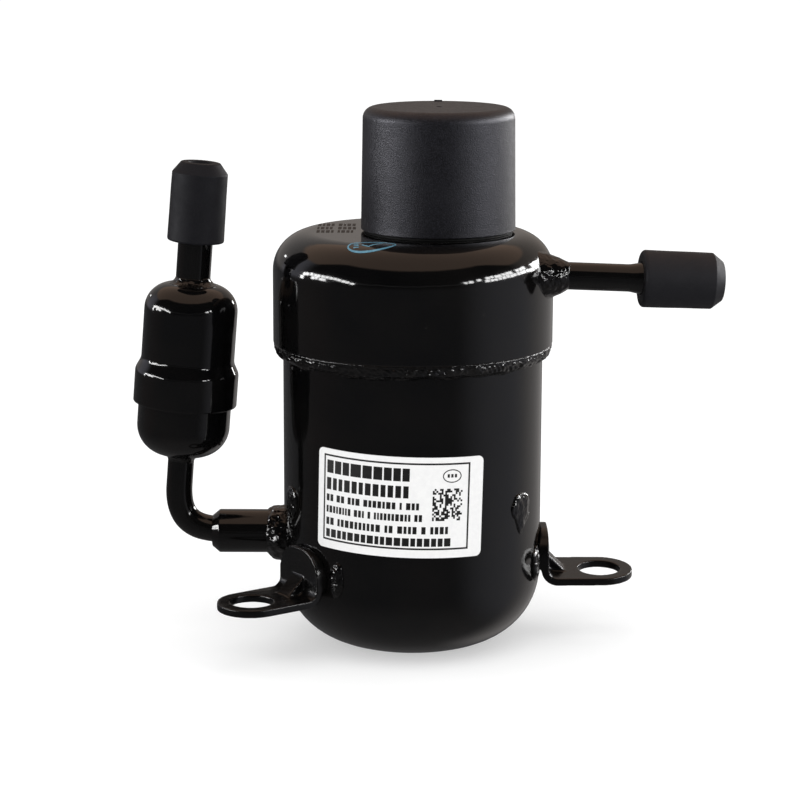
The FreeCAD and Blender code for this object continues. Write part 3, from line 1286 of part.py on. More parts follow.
def check_and_write():
    doc.recompute()
    broken = [o.Label for o in doc.Objects if "Invalid" in o.State or "Error" in o.State]
    if broken:
        raise RuntimeError(f"failed objects: {broken}")
    labels = [part.Label for part in nodes]
    if len(set(labels)) != len(labels):
        raise RuntimeError("two nodes share a label")
    for part in nodes:
        shape = part.Shape
        if shape.isNull() or not shape.isValid() or not shape.Solids:
            raise RuntimeError(f"{part.Label}: no valid solid")
    os.makedirs("parts", exist_ok=True)
    for part in nodes:
        part.Shape.exportStep(f"parts/{part.Label}.step")
        print(f"{part.Label}: {len(part.Shape.Solids)} solids, {part.Shape.Volume:.1f} mm3")
    print(len(nodes), "nodes")


casing()
plug_welds()
feet()
terminal()
terminal_cover()
discharge()
suction()
accumulator()
rating_label()
pump()
stator()
rotor()
leads()
check_and_write()
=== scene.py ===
"""Hermetic refrigeration rotary compressor: visual pieces, materials, stage, lights and camera.

Sizes in the code are millimetres, in the row frame, and meshes are scaled to metres when they are made.
"""
import json
import math
import random

import bmesh
import bpy
from mathutils import Matrix, Vector, noise


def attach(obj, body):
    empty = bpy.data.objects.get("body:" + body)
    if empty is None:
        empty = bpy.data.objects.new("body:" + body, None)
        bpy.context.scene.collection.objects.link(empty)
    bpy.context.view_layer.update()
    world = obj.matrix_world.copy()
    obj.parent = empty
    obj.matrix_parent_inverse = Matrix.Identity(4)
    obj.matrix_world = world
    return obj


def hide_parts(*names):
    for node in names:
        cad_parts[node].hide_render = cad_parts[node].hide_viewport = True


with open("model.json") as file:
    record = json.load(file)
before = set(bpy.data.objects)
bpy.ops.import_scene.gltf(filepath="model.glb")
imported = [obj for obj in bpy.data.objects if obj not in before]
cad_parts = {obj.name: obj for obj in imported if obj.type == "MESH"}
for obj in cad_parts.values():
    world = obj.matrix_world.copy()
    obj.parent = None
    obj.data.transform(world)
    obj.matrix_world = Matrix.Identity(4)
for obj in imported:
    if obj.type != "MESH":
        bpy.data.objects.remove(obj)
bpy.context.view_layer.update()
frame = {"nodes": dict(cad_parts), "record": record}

MM = 0.001
SEED = 7
UP = Vector((0, 0, 1))
TURNS = 192

# Sizes of the pieces
SHELL_R = 30.5
WALL = 2.3
BOTTOM_CORNER = 17
LOWER_RIM = 80
CAP_R = 32.8
CAP_RIM = 71.5
CAP_TOP = 97.6
CAP_CORNER = 9.0
COVER_X = 5.8
COVER_R = 18.0
COVER_TOP_R = 17.6
COVER_TOP = 126.5
COVER_FOOT = 98.2
COVER_WALL = 2.0
SEAL_R = 17.3
SEAL_BORE = 15.9
GATE_DEEP = 0.5
NIB_HALF = 0.95
NIB_FROM = 13.5
NIB_TO = 14.5
NIB_HIGH = 0.3
NIB_EDGE = 0.1
FOOT_ANGLE = math.radians(2)
FOOT_BEND = math.radians(4)
FOOT_BEND_Z = 18
FOOT_LIFT = 0.55
TUBE_R = 3.175
TUBE_BORE = 2.475
TUBE_SUNK = 5
TUBE_SOCKET = 27.8
TUBE_LONG = 34
FLARE_R = 3.75
FLARE_BORE = 3.2
FLARE_FROM = 18.6
FLARE_TO = 21.6
STUB_R = 5.15
STUB_BORE = 3.15
STUB_LIP_R = 3.65
STUB_FROM = 27
STUB_NECK = 45.8
STUB_LONG = 47.6
STUB_Z = 25.3
ELBOW_R = 3.1
CUP_R = 10.95
CUP_LONG = 41.1
CUP_WALL = 1.1
LAP_FROM = 12.5
LAP_TO = 21.5
BELL_R = 12.2
BELL_TOP = 20.4
BELL_NECK = 22.9
INLET_R = 4.05
INLET_BORE = 3.25
INLET_FROM = 38.6
INLET_SOCKET = 50.3
INLET_LONG = 62
PLUG_R = 6.7
PLUG_TIP_R = 4.6
LABEL_Z = 38.9
LABEL_ANGLE = 263.2
LABEL_LONG = 40.3
LABEL_HIGH = 23.4
LABEL_TILT = math.radians(1.5)
LABEL_SKIN = 0.15
PRINT_LIFT = 0.03
FILM_STEP = 0.8
MARK_X = -9.4
MARK_Y = -22.5

record = frame["record"]
mounts = {mount["name"]: mount for mount in record["mounts"]}


# Placing


def axes(origin, along, up=UP):
    """Matrix whose Z axis runs along the given direction, with X towards up."""
    z = Vector(along).normalized()
    x = Vector(up) if abs(z.dot(up)) < 0.9 else Vector((0, 1, 0))
    x = (x - z * x.dot(z)).normalized()
    turned = Matrix((x, z.cross(x), z)).transposed().to_4x4()
    turned.translation = Vector(origin)
    return turned


def mount_frame(name, back):
    """Frame on a mount's axis, its origin moved back by a number of millimetres."""
    mount = mounts[name]
    along = Vector(mount["axis"]).normalized()
    return axes(Vector(mount["pos_m"]) / MM - along * back, along)


TUBE = mount_frame("discharge_socket", TUBE_SOCKET)
ACCUMULATOR = mount_frame("suction_socket", INLET_SOCKET)
STUB = axes((0, 0, STUB_Z), (-1, 0, 0))
UPRIGHT = Matrix.Identity(4)
COVER = Matrix.Translation((COVER_X, 0, 0))


def lumps(point, wave, seed=0.0):
    """Smooth noise from about -1 to 1 with the given wavelength in mm."""
    return noise.noise(Vector(point) / wave + Vector((seed, seed * 1.7, -seed)))


# Meshes


def piece(name, points, faces, material, slot, body="casing", replaces=(), sharp=32.0):
    """Makes a mesh object from points in mm and rides it on its body."""
    mesh = bpy.data.meshes.new(name)
    mesh.from_pydata([tuple(c * MM for c in p) for p in points], [], faces)
    tidy = bmesh.new()
    tidy.from_mesh(mesh)
    bmesh.ops.remove_doubles(tidy, verts=tidy.verts, dist=1e-8)
    bmesh.ops.recalc_face_normals(tidy, faces=tidy.faces)
    tidy.to_mesh(mesh)
    tidy.free()
    return dress(name, mesh, material, body, replaces, sharp)


def dress(name, mesh, material, body, replaces, sharp):
    """Makes a mesh an object with a material, and rides it on its body."""
    mesh.shade_smooth()
    if sharp:
        mesh.set_sharp_from_angle(angle=math.radians(sharp))
    mesh.materials.clear()
    mesh.materials.append(material)
    obj = bpy.data.objects.new(name, mesh)
    bpy.context.scene.collection.objects.link(obj)
    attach(obj, body)
    if replaces:
        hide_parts(*replaces)
    return obj


def rounded(corners, beside=0.18):
    """Outline through corners (r, z, fillet radius), with a support point beside each fillet."""
    spots = [Vector((c[0], c[1])) for c in corners]
    count = len(spots)
    line = []
    for i, corner in enumerate(corners):
        radius = corner[2] if len(corner) > 2 else 0
        if not radius:
            line.append(spots[i])
            continue
        back = spots[i - 1] - spots[i]
        ahead = spots[(i + 1) % count] - spots[i]
        half = back.angle(ahead) / 2
        reach = radius / math.tan(half)
        start = spots[i] + back.normalized() * reach
        end = spots[i] + ahead.normalized() * reach
        centre = spots[i] + (back.normalized() + ahead.normalized()).normalized() * radius / math.sin(half)
        if back.length > reach + beside * 2:
            line.append(start + back.normalized() * beside)
        turn = (start - centre).angle_signed(end - centre)
        steps = max(4, math.ceil(abs(turn) / math.radians(6)))
        for k in range(steps + 1):
            spoke = (start - centre).copy()
            spoke.rotate(Matrix.Rotation(-turn * k / steps, 2))
            line.append(centre + spoke)
        if ahead.length > reach + beside * 2:
            line.append(end + ahead.normalized() * beside)
    return [tuple(p) for p in line]


def divided(line, step, closed=False):
    """The same line with its long runs divided."""
    result = []
    pairs = list(zip(line, line[1:] + (line[:1] if closed else [])))
    for a, b in pairs:
        parts = max(1, math.ceil(math.dist(a, b) / step))
        for k in range(parts):
            f = k / parts
            result.append((a[0] + (b[0] - a[0]) * f, a[1] + (b[1] - a[1]) * f))
    if not closed:
        result.append(line[-1])
    return result


def turned(line, matrix, closed=False, turns=TURNS, wobble=None):
    """Points and faces of an outline turned about a frame's Z axis."""
    points, rings, faces = [], [], []
    for r, z in line:
        if abs(r) < 1e-6:
            rings.append([len(points)])
            points.append(matrix @ Vector((0, 0, z)))
            continue
        rings.append(list(range(len(points), len(points) + turns)))
        for k in range(turns):
            angle = math.tau * k / turns
            dr, dz = wobble(angle, r, z) if wobble else (0, 0)
            points.append(matrix @ Vector(((r + dr) * math.cos(angle), (r + dr) * math.sin(angle), z + dz)))
    pairs = list(zip(rings, rings[1:] + (rings[:1] if closed else [])))
    for a, b in pairs:
        if len(a) == 1 and len(b) == 1:
            continue
        for k in range(turns):
            n = (k + 1) % turns
            if len(a) == 1:
                faces.append((a[0], b[n], b[k]))
            elif len(b) == 1:
                faces.append((a[k], a[n], b[0]))
            else:
                faces.append((a[k], a[n], b[n], b[k]))
    return points, faces


def lathe(name, line, matrix, material, slot, closed=False, turns=TURNS, wobble=None, **rest):
    """A piece turned from an outline about a frame's Z axis."""
    points, faces = turned(line, matrix, closed, turns, wobble)
    return piece(name, points, faces, material, slot, **rest)


# Materials


class Nodes:
    """A node tree, with short ways to add to it."""

    def __init__(self, tree):
        self.tree = tree

    def node(self, kind, **settings):
        node = self.tree.nodes.new(kind)
        for key, value in settings.items():
            setattr(node, key, value)
        return node

    def link(self, source, target):
        """Links a socket to another, or sets a plain value on it."""
        if isinstance(source, bpy.types.NodeSocket):
            self.tree.links.new(source, target)
        else:
            target.default_value = source

    def maths(self, operation, a, b=0.0, clamp=False):
        node = self.node("ShaderNodeMath", operation=operation, use_clamp=clamp)
        self.link(a, node.inputs[0])
        self.link(b, node.inputs[1])
        return node.outputs[0]

    def between(self, source, low, high, to_low=0.0, to_high=1.0, curve="LINEAR"):
        node = self.node("ShaderNodeMapRange", interpolation_type=curve)
        self.link(source, node.inputs["Value"])
        for key, value in (("From Min", low), ("From Max", high), ("To Min", to_low), ("To Max", to_high)):
            node.inputs[key].default_value = value
        return node.outputs[0]

    def mix(self, factor, a, b):
        node = self.node("ShaderNodeMix", data_type="RGBA")
        self.link(factor, node.inputs[0])
        self.link(a if isinstance(a, bpy.types.NodeSocket) else (*a, 1), node.inputs[6])
        self.link(b if isinstance(b, bpy.types.NodeSocket) else (*b, 1), node.inputs[7])
        return node.outputs[2]


class Look(Nodes):
    """A procedural material on a Principled shader, with its patterns measured in mm."""

    def __init__(self, name, **values):
        self.material = bpy.data.materials.new(name)
        self.material.use_nodes = True
        super().__init__(self.material.node_tree)
        self.shader = self.tree.nodes["Principled BSDF"]
        for key, value in values.items():
            self.shader.inputs[key.replace("_", " ")].default_value = value
        place = self.node("ShaderNodeTexCoord")
        self.mm = self.math3("SCALE", place.outputs["Object"], scale=1 / MM)

    def math3(self, operation, a, b=None, scale=None):
        node = self.node("ShaderNodeVectorMath", operation=operation)
        self.link(a, node.inputs[0])
        if b is not None:
            self.link(b, node.inputs[1])
        if scale is not None:
            node.inputs["Scale"].default_value = scale
        return node.outputs[0]

    def noise(self, wave, detail=2.0, roughness=0.5, stretch=None, shift=0.0):
        place = self.mm
        if stretch:
            place = self.math3("MULTIPLY", place, stretch)
        if shift:
            place = self.math3("ADD", place, (shift, shift * 2, -shift))
        node = self.node("ShaderNodeTexNoise")
        self.link(place, node.inputs["Vector"])
        node.inputs["Scale"].default_value = 1 / wave
        node.inputs["Detail"].default_value = detail
        node.inputs["Roughness"].default_value = roughness
        return node.outputs["Fac"]

    def cells(self, wave):
        node = self.node("ShaderNodeTexVoronoi")
        self.link(self.mm, node.inputs["Vector"])
        node.inputs["Scale"].default_value = 1 / wave
        return node

    def specks(self, wave, size, share):
        """1 on a few small round spots, one to a cell, and 0 elsewhere."""
        cell = self.cells(wave)
        spot = self.between(cell.outputs["Distance"], size * 0.7, size, 1.0, 0.0)
        parts = self.node("ShaderNodeSeparateColor")
        self.link(cell.outputs["Color"], parts.inputs[0])
        chosen = self.maths("LESS_THAN", parts.outputs[0], share)
        return self.maths("MULTIPLY", spot, chosen)

    def bump(self, height, depth, below=None):
        """Adds relief of a depth in mm to the shader's normal."""
        node = self.node("ShaderNodeBump")
        node.inputs["Distance"].default_value = depth * MM
        self.link(height, node.inputs["Height"])
        if below is not None:
            self.link(below, node.inputs["Normal"])
        self.link(node.outputs[0], self.shader.inputs["Normal"])
        return node.outputs[0]

    def colour(self, source):
        self.link(source, self.shader.inputs["Base Color"])

    def gloss(self, source):
        self.link(source, self.shader.inputs["Roughness"])


def enamel(name, ripple, dust, gloss, IOR=1.5):
    """Thick black enamel: orange peel, brownish cast in patches, a little dust."""
    look = Look(name, IOR=IOR)
    patches = look.between(look.noise(14, 3), 0.35, 0.7)
    tone = look.mix(patches, (0.0016, 0.0016, 0.0018), (0.0030, 0.0027, 0.0026))
    speck = look.specks(2.6, 0.028, dust)
    look.colour(look.mix(speck, tone, (0.16, 0.15, 0.14)))
    sheen = look.between(look.noise(9, 4, 0.6, shift=3), 0.3, 0.75, gloss[0], gloss[1])
    look.gloss(look.maths("ADD", sheen, look.maths("MULTIPLY", speck, 0.4), clamp=True))
    peel = look.bump(look.noise(1.7, 1.5, 0.45), ripple)
    fine = look.bump(look.noise(0.34, 1.0, 0.5, shift=5), ripple * 0.10, peel)
    look.bump(speck, 0.02, fine)
    return look.material


def weld_enamel(name):
    """The same enamel over weld metal: ripples, spatter, and pale flecks where it is thin, which are partly
    painted glints.
    """
    look = Look(name, IOR=1.5)
    patches = look.between(look.noise(3, 3), 0.35, 0.7)
    tone = look.mix(patches, (0.0012, 0.0012, 0.0014), (0.0030, 0.0026, 0.0024))
    # Pale flecks: partly bare spatter, partly painted glints that stand in for highlights
    fleck_and_glint = look.specks(1.5, 0.12, 0.06)
    look.colour(look.mix(fleck_and_glint, tone, (0.14, 0.135, 0.13)))
    look.gloss(look.between(look.noise(2, 3, shift=3), 0.3, 0.75, 0.03, 0.08))
    broad = look.bump(look.noise(1.1, 1.5, 0.45), 0.26)
    fine = look.bump(look.noise(0.5, 1.0, 0.5, shift=5), 0.05, broad)
    look.bump(fleck_and_glint, 0.05, fine)
    return look.material


def moulded(name, dark, light, grain, depth, gloss, dust=0.0, grit=None, IOR=1.48, tint=(1, 1, 1)):
    """Moulded plastic or rubber with a fine erosion grain."""
    look = Look(name, IOR=IOR, Specular_Tint=(*tint, 1))
    tone = look.mix(look.between(look.noise(7, 4, 0.6), 0.35, 0.7), dark, light)
    if dust:
        tone = look.mix(look.specks(1.9, 0.05, dust), tone, (0.14, 0.13, 0.13))
    pits = look.noise(grain, 2.0, 0.6)
    look.colour(look.mix(look.between(pits, 0.42, 0.68), tone, grit or light))
    look.gloss(look.between(look.noise(grain * 6, 3, 0.6, shift=2), 0.3, 0.75, gloss[0], gloss[1]))
    broad = look.bump(look.noise(3.0, 2, 0.5, shift=6), depth * 0.7)
    look.bump(pits, depth, broad)
    return look.material


def metal(name, dark, light, gloss, wave=0.6, stretch=(1, 1, 1), depth=0.004):
    """Bare, ground or cast metal with tone and gloss in fine streaks or grains."""
    look = Look(name, Metallic=1.0)
    streaks = look.noise(wave, 3, 0.6, stretch=stretch)
    patches = look.noise(6, 3, 0.6, shift=4)
    tone = look.mix(look.between(streaks, 0.3, 0.72), dark, light)
    look.colour(look.mix(look.between(patches, 0.45, 0.8, 0.0, 0.45), tone, tuple(c * 0.6 for c in dark)))
    look.gloss(look.between(patches, 0.3, 0.75, gloss[0], gloss[1]))
    look.bump(streaks, depth)
    return look.material


def printed(name, dark, light, gloss):
    """Label film or ink: faint mottling, fine relief."""
    look = Look(name, IOR=1.45)
    look.colour(look.mix(look.between(look.noise(1.2, 4, 0.65), 0.3, 0.7), dark, light))
    look.gloss(look.between(look.noise(4, 3, shift=2), 0.3, 0.7, gloss[0], gloss[1]))
    wave = look.bump(look.noise(6, 2), 0.03)
    look.bump(look.noise(0.25, 2), 0.002, wave)
    return look.material


PAINT = enamel("black_enamel", 0.012, 0.10, (0.06, 0.11))
FOOT_PAINT = enamel("black_enamel_feet", 0.035, 0.16, (0.16, 0.27), IOR=1.42)
WELD = weld_enamel("black_enamel_on_weld")
RUBBER = ((0.0058, 0.0058, 0.0080), (0.0090, 0.0088, 0.0112), 0.35, 0.014, (0.54, 0.68), 0.08)
LOOKS = {
    "shell_paint": PAINT,
    "weld_paint": WELD,
    "cover_plastic": moulded(
        "cover_plastic", (0.0028, 0.0028, 0.0040), (0.0048, 0.0047, 0.0066), 0.27, 0.060, (0.38, 0.48),
        grit=(0.0125, 0.0125, 0.0175), tint=(0.90, 0.90, 1.0)),
    "plug_rubber": moulded("plug_rubber", *RUBBER, IOR=1.38, tint=(0.94, 0.94, 1.0)),
    "suction_rubber": moulded("suction_rubber", *RUBBER, IOR=1.27, tint=(0.94, 0.94, 1.0)),
    "gasket_rubber": moulded(
        "gasket_rubber", (0.003, 0.003, 0.003), (0.006, 0.006, 0.006), 0.3, 0.02, (0.6, 0.8), IOR=1.3),
    "label_film": printed("label_film", (0.84, 0.84, 0.84), (0.90, 0.90, 0.895), (0.35, 0.45)),
    "cast_iron": metal("cast_iron", (0.17, 0.17, 0.17), (0.30, 0.29, 0.28), (0.5, 0.7), 0.4, depth=0.03),
    "ground_steel": metal(
        "ground_steel", (0.50, 0.50, 0.51), (0.68, 0.68, 0.69), (0.18, 0.3), 0.5, (0.15, 0.15, 3)),
    "lamination_steel": metal(
        "lamination_steel", (0.26, 0.26, 0.28), (0.46, 0.46, 0.48), (0.35, 0.55), 0.35,
        (0.02, 0.02, 1), 0.03),
    "copper_wire": metal(
        "copper_wire", (0.45, 0.17, 0.07), (0.78, 0.36, 0.17), (0.2, 0.35), 0.45, (0.1, 0.1, 1), 0.08),
    "insulator_plastic": moulded(
        "insulator_plastic", (0.74, 0.71, 0.62), (0.84, 0.82, 0.74), 0.3, 0.01, (0.4, 0.5)),
    "magnet_ferrite": metal(
        "magnet_ferrite", (0.06, 0.06, 0.065), (0.12, 0.12, 0.13), (0.4, 0.6), 0.3, depth=0.01),
    "pin_plating": metal(
        "pin_plating", (0.60, 0.52, 0.35), (0.82, 0.75, 0.56), (0.15, 0.3), 0.4, (2, 2, 0.3)),
    "lead_sleeve": moulded("lead_sleeve", (0.5, 0.05, 0.04), (0.75, 0.12, 0.1), 0.4, 0.05, (0.5, 0.7)),
    "weight_brass": metal(
        "weight_brass", (0.58, 0.42, 0.16), (0.80, 0.64, 0.32), (0.2, 0.35), 0.5, (1, 1, 0.2)),
    "copper_tube": metal(
        "copper_tube", (0.50, 0.22, 0.11), (0.74, 0.38, 0.22), (0.2, 0.4), 0.6, (3, 0.3, 3)),
    "zinc_steel": metal("zinc_steel", (0.34, 0.34, 0.32), (0.58, 0.58, 0.55), (0.25, 0.45), 0.8, depth=0.01),
}
glass = Look("glass_bead", IOR=1.52, Transmission_Weight=0.55)
glass.colour(glass.mix(glass.between(glass.noise(0.8, 3), 0.3, 0.7), (0.05, 0.16, 0.13), (0.11, 0.26, 0.22)))
glass.gloss(glass.between(glass.noise(1.5, 2, shift=2), 0.3, 0.7, 0.05, 0.16))
glass.bump(glass.noise(0.7, 2), 0.02)
LOOKS["glass_bead"] = glass.material
BLACK_INK = printed("black_ink", (0.004, 0.004, 0.0045), (0.010, 0.0095, 0.0095), (0.5, 0.6))
STAMP_INK = printed("stamp_ink", (0.010, 0.008, 0.007), (0.022, 0.018, 0.015), (0.55, 0.7))
BLUE_INK = printed("blue_ink", (0.05, 0.16, 0.24), (0.12, 0.30, 0.40), (0.3, 0.5))

for row in record["subparts"]:
    carried = frame["nodes"][row["node"]]
    for each in carried.material_slots:
        each.material = LOOKS[row["material_slot"]]
    if not carried.material_slots:
        carried.data.materials.append(LOOKS[row["material_slot"]])
    carried.data.shade_smooth()
    carried.data.set_sharp_from_angle(angle=math.radians(30))


# Shells


def drawn(seed, depth=0.05):
    """The slight unevenness of deep-drawn sheet, always inwards, as a wobble for lathe."""
    def wobble(angle, r, z):
        place = (r * math.cos(angle), r * math.sin(angle), z * 0.6)
        return -depth * (0.5 + 0.5 * lumps(place, 24, seed)) * min(1, r / 20), 0
    return wobble


inner = SHELL_R - WALL
lower_line = rounded([
    (0, 0), (SHELL_R, 0, BOTTOM_CORNER), (SHELL_R, LOWER_RIM), (inner, LOWER_RIM),
    (inner, WALL, BOTTOM_CORNER - WALL), (0, WALL)])
lathe("shell_lower", divided(lower_line, 6), UPRIGHT, PAINT, "shell_paint", turns=256,
      wobble=drawn(1.0), replaces=("lower_shell",))
upper_line = rounded([
    (0, CAP_TOP), (CAP_R, CAP_TOP, CAP_CORNER), (CAP_R, CAP_RIM, 0.5), (SHELL_R, CAP_RIM),
    (SHELL_R, CAP_TOP - WALL, CAP_CORNER - WALL), (0, CAP_TOP - WALL)])
lathe("shell_upper", divided(upper_line, 5), UPRIGHT, PAINT, "shell_paint", turns=256,
      wobble=drawn(2.0, 0.03), replaces=("upper_shell",))


def girth_wobble(angle, r, z):
    """Uneven weld metal under the upper shell's edge, flat where it touches either shell."""
    place = (SHELL_R * math.cos(angle), SHELL_R * math.sin(angle), z)
    free = max(0.0, min(1.0, (r - SHELL_R) / 0.6)) * max(0.0, min(1.0, (CAP_RIM + 0.1 - z) / 0.7))
    along = angle * SHELL_R
    ripple = math.sin((along + (z - 69) ** 2 * 0.5 + 1.5 * lumps(place, 6, 4)) * math.tau / 1.35)
    beads = (0.20 * ripple * (0.6 + 0.8 * lumps(place, 7, 9))
             + 0.42 * lumps(place, 2.1, 3) + 0.24 * lumps(place, 0.8, 5))
    sag = 0.6 * lumps((place[0], place[1], 0), 5.5, 8)
    low = max(0.0, min(1.0, (70.6 - z) / 2.2))
    return min(CAP_R - 0.1 - r, free * (beads - 0.05)), low * sag * 0.9


girth_line = divided(rounded([
    (SHELL_R - 0.3, 68.0), (SHELL_R + 0.2, 68.3), (SHELL_R + 1.35, 69.2, 0.6), (CAP_R - 0.2, 70.7, 0.6),
    (CAP_R - 0.15, CAP_RIM + 0.15), (SHELL_R - 0.3, CAP_RIM + 0.15)], beside=9), 0.28, closed=True)
lathe("weld_girth", girth_line, UPRIGHT, WELD, "weld_paint", closed=True, turns=900,
      wobble=girth_wobble, replaces=("girth_weld",), sharp=0)


# Weld puddles on the shell


def puddle(angle, z, wide, high, proud, seed, tail=0.0, lean=0.0, rough=1.0):
    """Points and faces of a lumpy weld on the lower shell, with an optional drip under it."""
    rings, spokes = 22, 72
    points, faces = [], []
    base = math.radians(angle)

    def put(u, v, lift):
        turn = base + u / SHELL_R
        points.append(((SHELL_R + lift) * math.cos(turn), (SHELL_R + lift) * math.sin(turn), z + v))

    put(0, 0, proud * (0.9 + 0.1 * lumps((seed, 0, 0), 1)))
    for ring in range(1, rings + 1):
        share = ring / rings
        for k in range(spokes):
            turn = math.tau * k / spokes
            edge = 1 + rough * 0.16 * lumps((math.cos(turn) * 2, math.sin(turn) * 2, seed), 1.3)
            u = math.cos(turn) * wide * edge * share
            v = math.sin(turn) * high * edge * share
            if tail and math.sin(turn) < 0:
                drop = max(0.0, 1 - abs(math.cos(turn)) * 1.5)
                v -= tail * drop * share ** 1.5
                u += lean * tail * drop * share ** 1.5
            dome = max(0.0, 1 - share ** 2.6) ** 0.55
            lift = proud * dome + rough * 0.22 * proud * lumps((u, v, seed), 1.5) * dome ** 0.4
            lift += rough * 0.10 * proud * lumps((u, v, seed + 9), 0.6) * dome ** 0.4
            put(u, v, lift if ring < rings else -0.3)
    put(0, 0, -0.5)
    last = len(points) - 1
    for k in range(spokes):
        n = (k + 1) % spokes
        faces.append((0, 1 + k, 1 + n))
        for ring in range(rings - 1):
            a = 1 + ring * spokes
            faces.append((a + k, a + spokes + k, a + spokes + n, a + n))
        outer = 1 + (rings - 1) * spokes
        faces.append((last, outer + n, outer + k))
    return points, faces


def joined(*parts):
    """Several meshes' points and faces as one."""
    points, faces = [], []
    for more_points, more_faces in parts:
        base = len(points)
        points += more_points
        faces += [tuple(base + i for i in face) for face in more_faces]
    return points, faces


piece("weld_plugs", *joined(
    puddle(203, 35.6, 3.4, 3.5, 0.80, 1.0, tail=1.5, rough=1.3),
    puddle(325.4, 35.5, 4.0, 3.8, 0.72, 2.0, tail=2.4, lean=-0.2, rough=1.3),
    puddle(85, 35.5, 3.6, 3.6, 0.75, 3.0, tail=1.0)),
    WELD, "weld_paint", replaces=("plug_welds",), sharp=0)
piece("weld_feet", *joined(
    puddle(-18.5, 20.3, 2.1, 4.1, 0.95, 4.0, rough=1.6),
    puddle(22.5, 20.3, 2.1, 4.0, 0.85, 5.0, rough=1.5),
    puddle(88.0, 20.3, 2.0, 4.0, 0.85, 6.0, rough=1.5),
    puddle(129.0, 20.3, 2.0, 4.0, 0.85, 7.0, rough=1.5),
    puddle(235.5, 20.3, 2.0, 4.0, 0.90, 8.0, rough=1.6),
    puddle(198.0, 20.3, 1.2, 1.9, 0.80, 9.0, rough=1.4)),
    WELD, "weld_paint", replaces=("foot_welds",), sharp=0)


def skirt(matrix, tube_r, base_r, reach, surface, seed, rough=1.0, belly=0.5, sag=0.0):
    """Points and faces of a weld or braze fillet from a shell out along a tube.

    surface gives the shell's radius at a height."""
    spokes, steps = 160, 22
    points, faces = [], []
    for k in range(spokes):
        turn = math.tau * k / spokes
        out = Vector((math.cos(turn), math.sin(turn), 0))
        edge = base_r * (1 - sag * out.x + 0.05 * rough * lumps((out.x * 2, out.y * 2, seed), 1.1))
        # Where this line along the tube comes out of the shell, found by halving
        low, high = -14.0, 40.0
        if (matrix @ (out * edge)).xy.length < 25:
            low, high = 0.0, 60.0
        for _ in range(36):
            middle = (low + high) / 2
            spot = matrix @ (out * edge + Vector((0, 0, middle)))
            if spot.xy.length < surface(spot.z):
                low = middle
            else:
                high = middle
        start = out * edge + Vector((0, 0, low))
        end_z = reach + 0.35 * rough * lumps((out.x * 1.5, out.y * 1.5, seed + 4), 1.0)
        end = out * tube_r + Vector((0, 0, end_z))
        knee = out * (tube_r + (edge - tube_r) * belly) + Vector((0, 0, low + (end_z - low) * belly))
        column = [out * (edge - 0.1) + Vector((0, 0, low - 0.9))]
        for i in range(steps + 1):
            f = i / steps
            spot = start * (1 - f) ** 2 + knee * 2 * f * (1 - f) + end * f * f
            swell = math.sin(math.pi * f) ** 0.7
            where = matrix @ spot
            bump = rough * (0.30 * lumps(where, 2.2, seed) + 0.14 * lumps(where, 0.9, seed + 2))
            column.append(spot + (out + Vector((0, 0, 1))).normalized() * bump * swell)
        column.append(out * (tube_r - 0.4) + Vector((0, 0, end_z - 0.1)))
        column.append(out * (tube_r - 0.4) + Vector((0, 0, low - 0.9)))
        points += [matrix @ p for p in column]
    tall = steps + 4
    for k in range(spokes):
        n = (k + 1) % spokes
        for i in range(tall):
            j = (i + 1) % tall
            faces.append((k * tall + i, k * tall + j, n * tall + j, n * tall + i))
    return points, faces


def cap_radius(z):
    """The upper shell's radius at a height."""
    rise = max(0.0, z - (CAP_TOP - CAP_CORNER))
    return CAP_R - CAP_CORNER + math.sqrt(max(0.0, CAP_CORNER ** 2 - rise ** 2))


piece("weld_suction", *skirt(STUB, STUB_R - 0.02, 6.9, 34.3, lambda z: SHELL_R, 11.0, 1.5, 0.72, 0.08),
      WELD, "weld_paint", replaces=("suction_weld",), sharp=0)
piece("braze_discharge", *skirt(TUBE, TUBE_R - 0.02, 5.5, 4.3, cap_radius, 12.0, 0.8, 0.55),
      WELD, "weld_paint", replaces=("discharge_braze",), sharp=0)


# Feet


def softened(name, node, voxel, passes):
    """A copy of a CAD piece's mesh with its edges rounded as thick paint rounds them."""
    mesh = frame["nodes"][node].data.copy()
    source = bpy.data.objects.new(name + "_source", mesh)
    bpy.context.scene.collection.objects.link(source)
    remesh = source.modifiers.new("remesh", "REMESH")
    remesh.mode = "VOXEL"
    remesh.voxel_size = voxel * MM
    smooth = source.modifiers.new("smooth", "SMOOTH")
    smooth.factor = 0.5
    smooth.iterations = passes
    bpy.context.view_layer.update()
    made = bpy.data.meshes.new_from_object(source.evaluated_get(bpy.context.evaluated_depsgraph_get()))
    bpy.data.objects.remove(source)
    made.name = name
    return made


for end in ("right", "back", "left"):
    cad_name = f"foot_{end}"
    bracket = softened(f"bracket_{end}", cad_name, voxel=0.24, passes=7)
    if end == "right":
        # Bent a little, about the line that it stands out along
        pivot = Matrix.Translation(Vector((0, 0, FOOT_BEND_Z)) * MM)
        outwards = Vector((math.cos(FOOT_ANGLE), math.sin(FOOT_ANGLE), 0))
        bend = pivot @ Matrix.Rotation(FOOT_BEND, 4, outwards) @ pivot.inverted()
        bracket.transform(Matrix.Translation((0, 0, FOOT_LIFT * MM)) @ bend)
    dress(f"bracket_{end}", bracket, FOOT_PAINT, "casing", (cad_name,), 0)


# Terminal cover


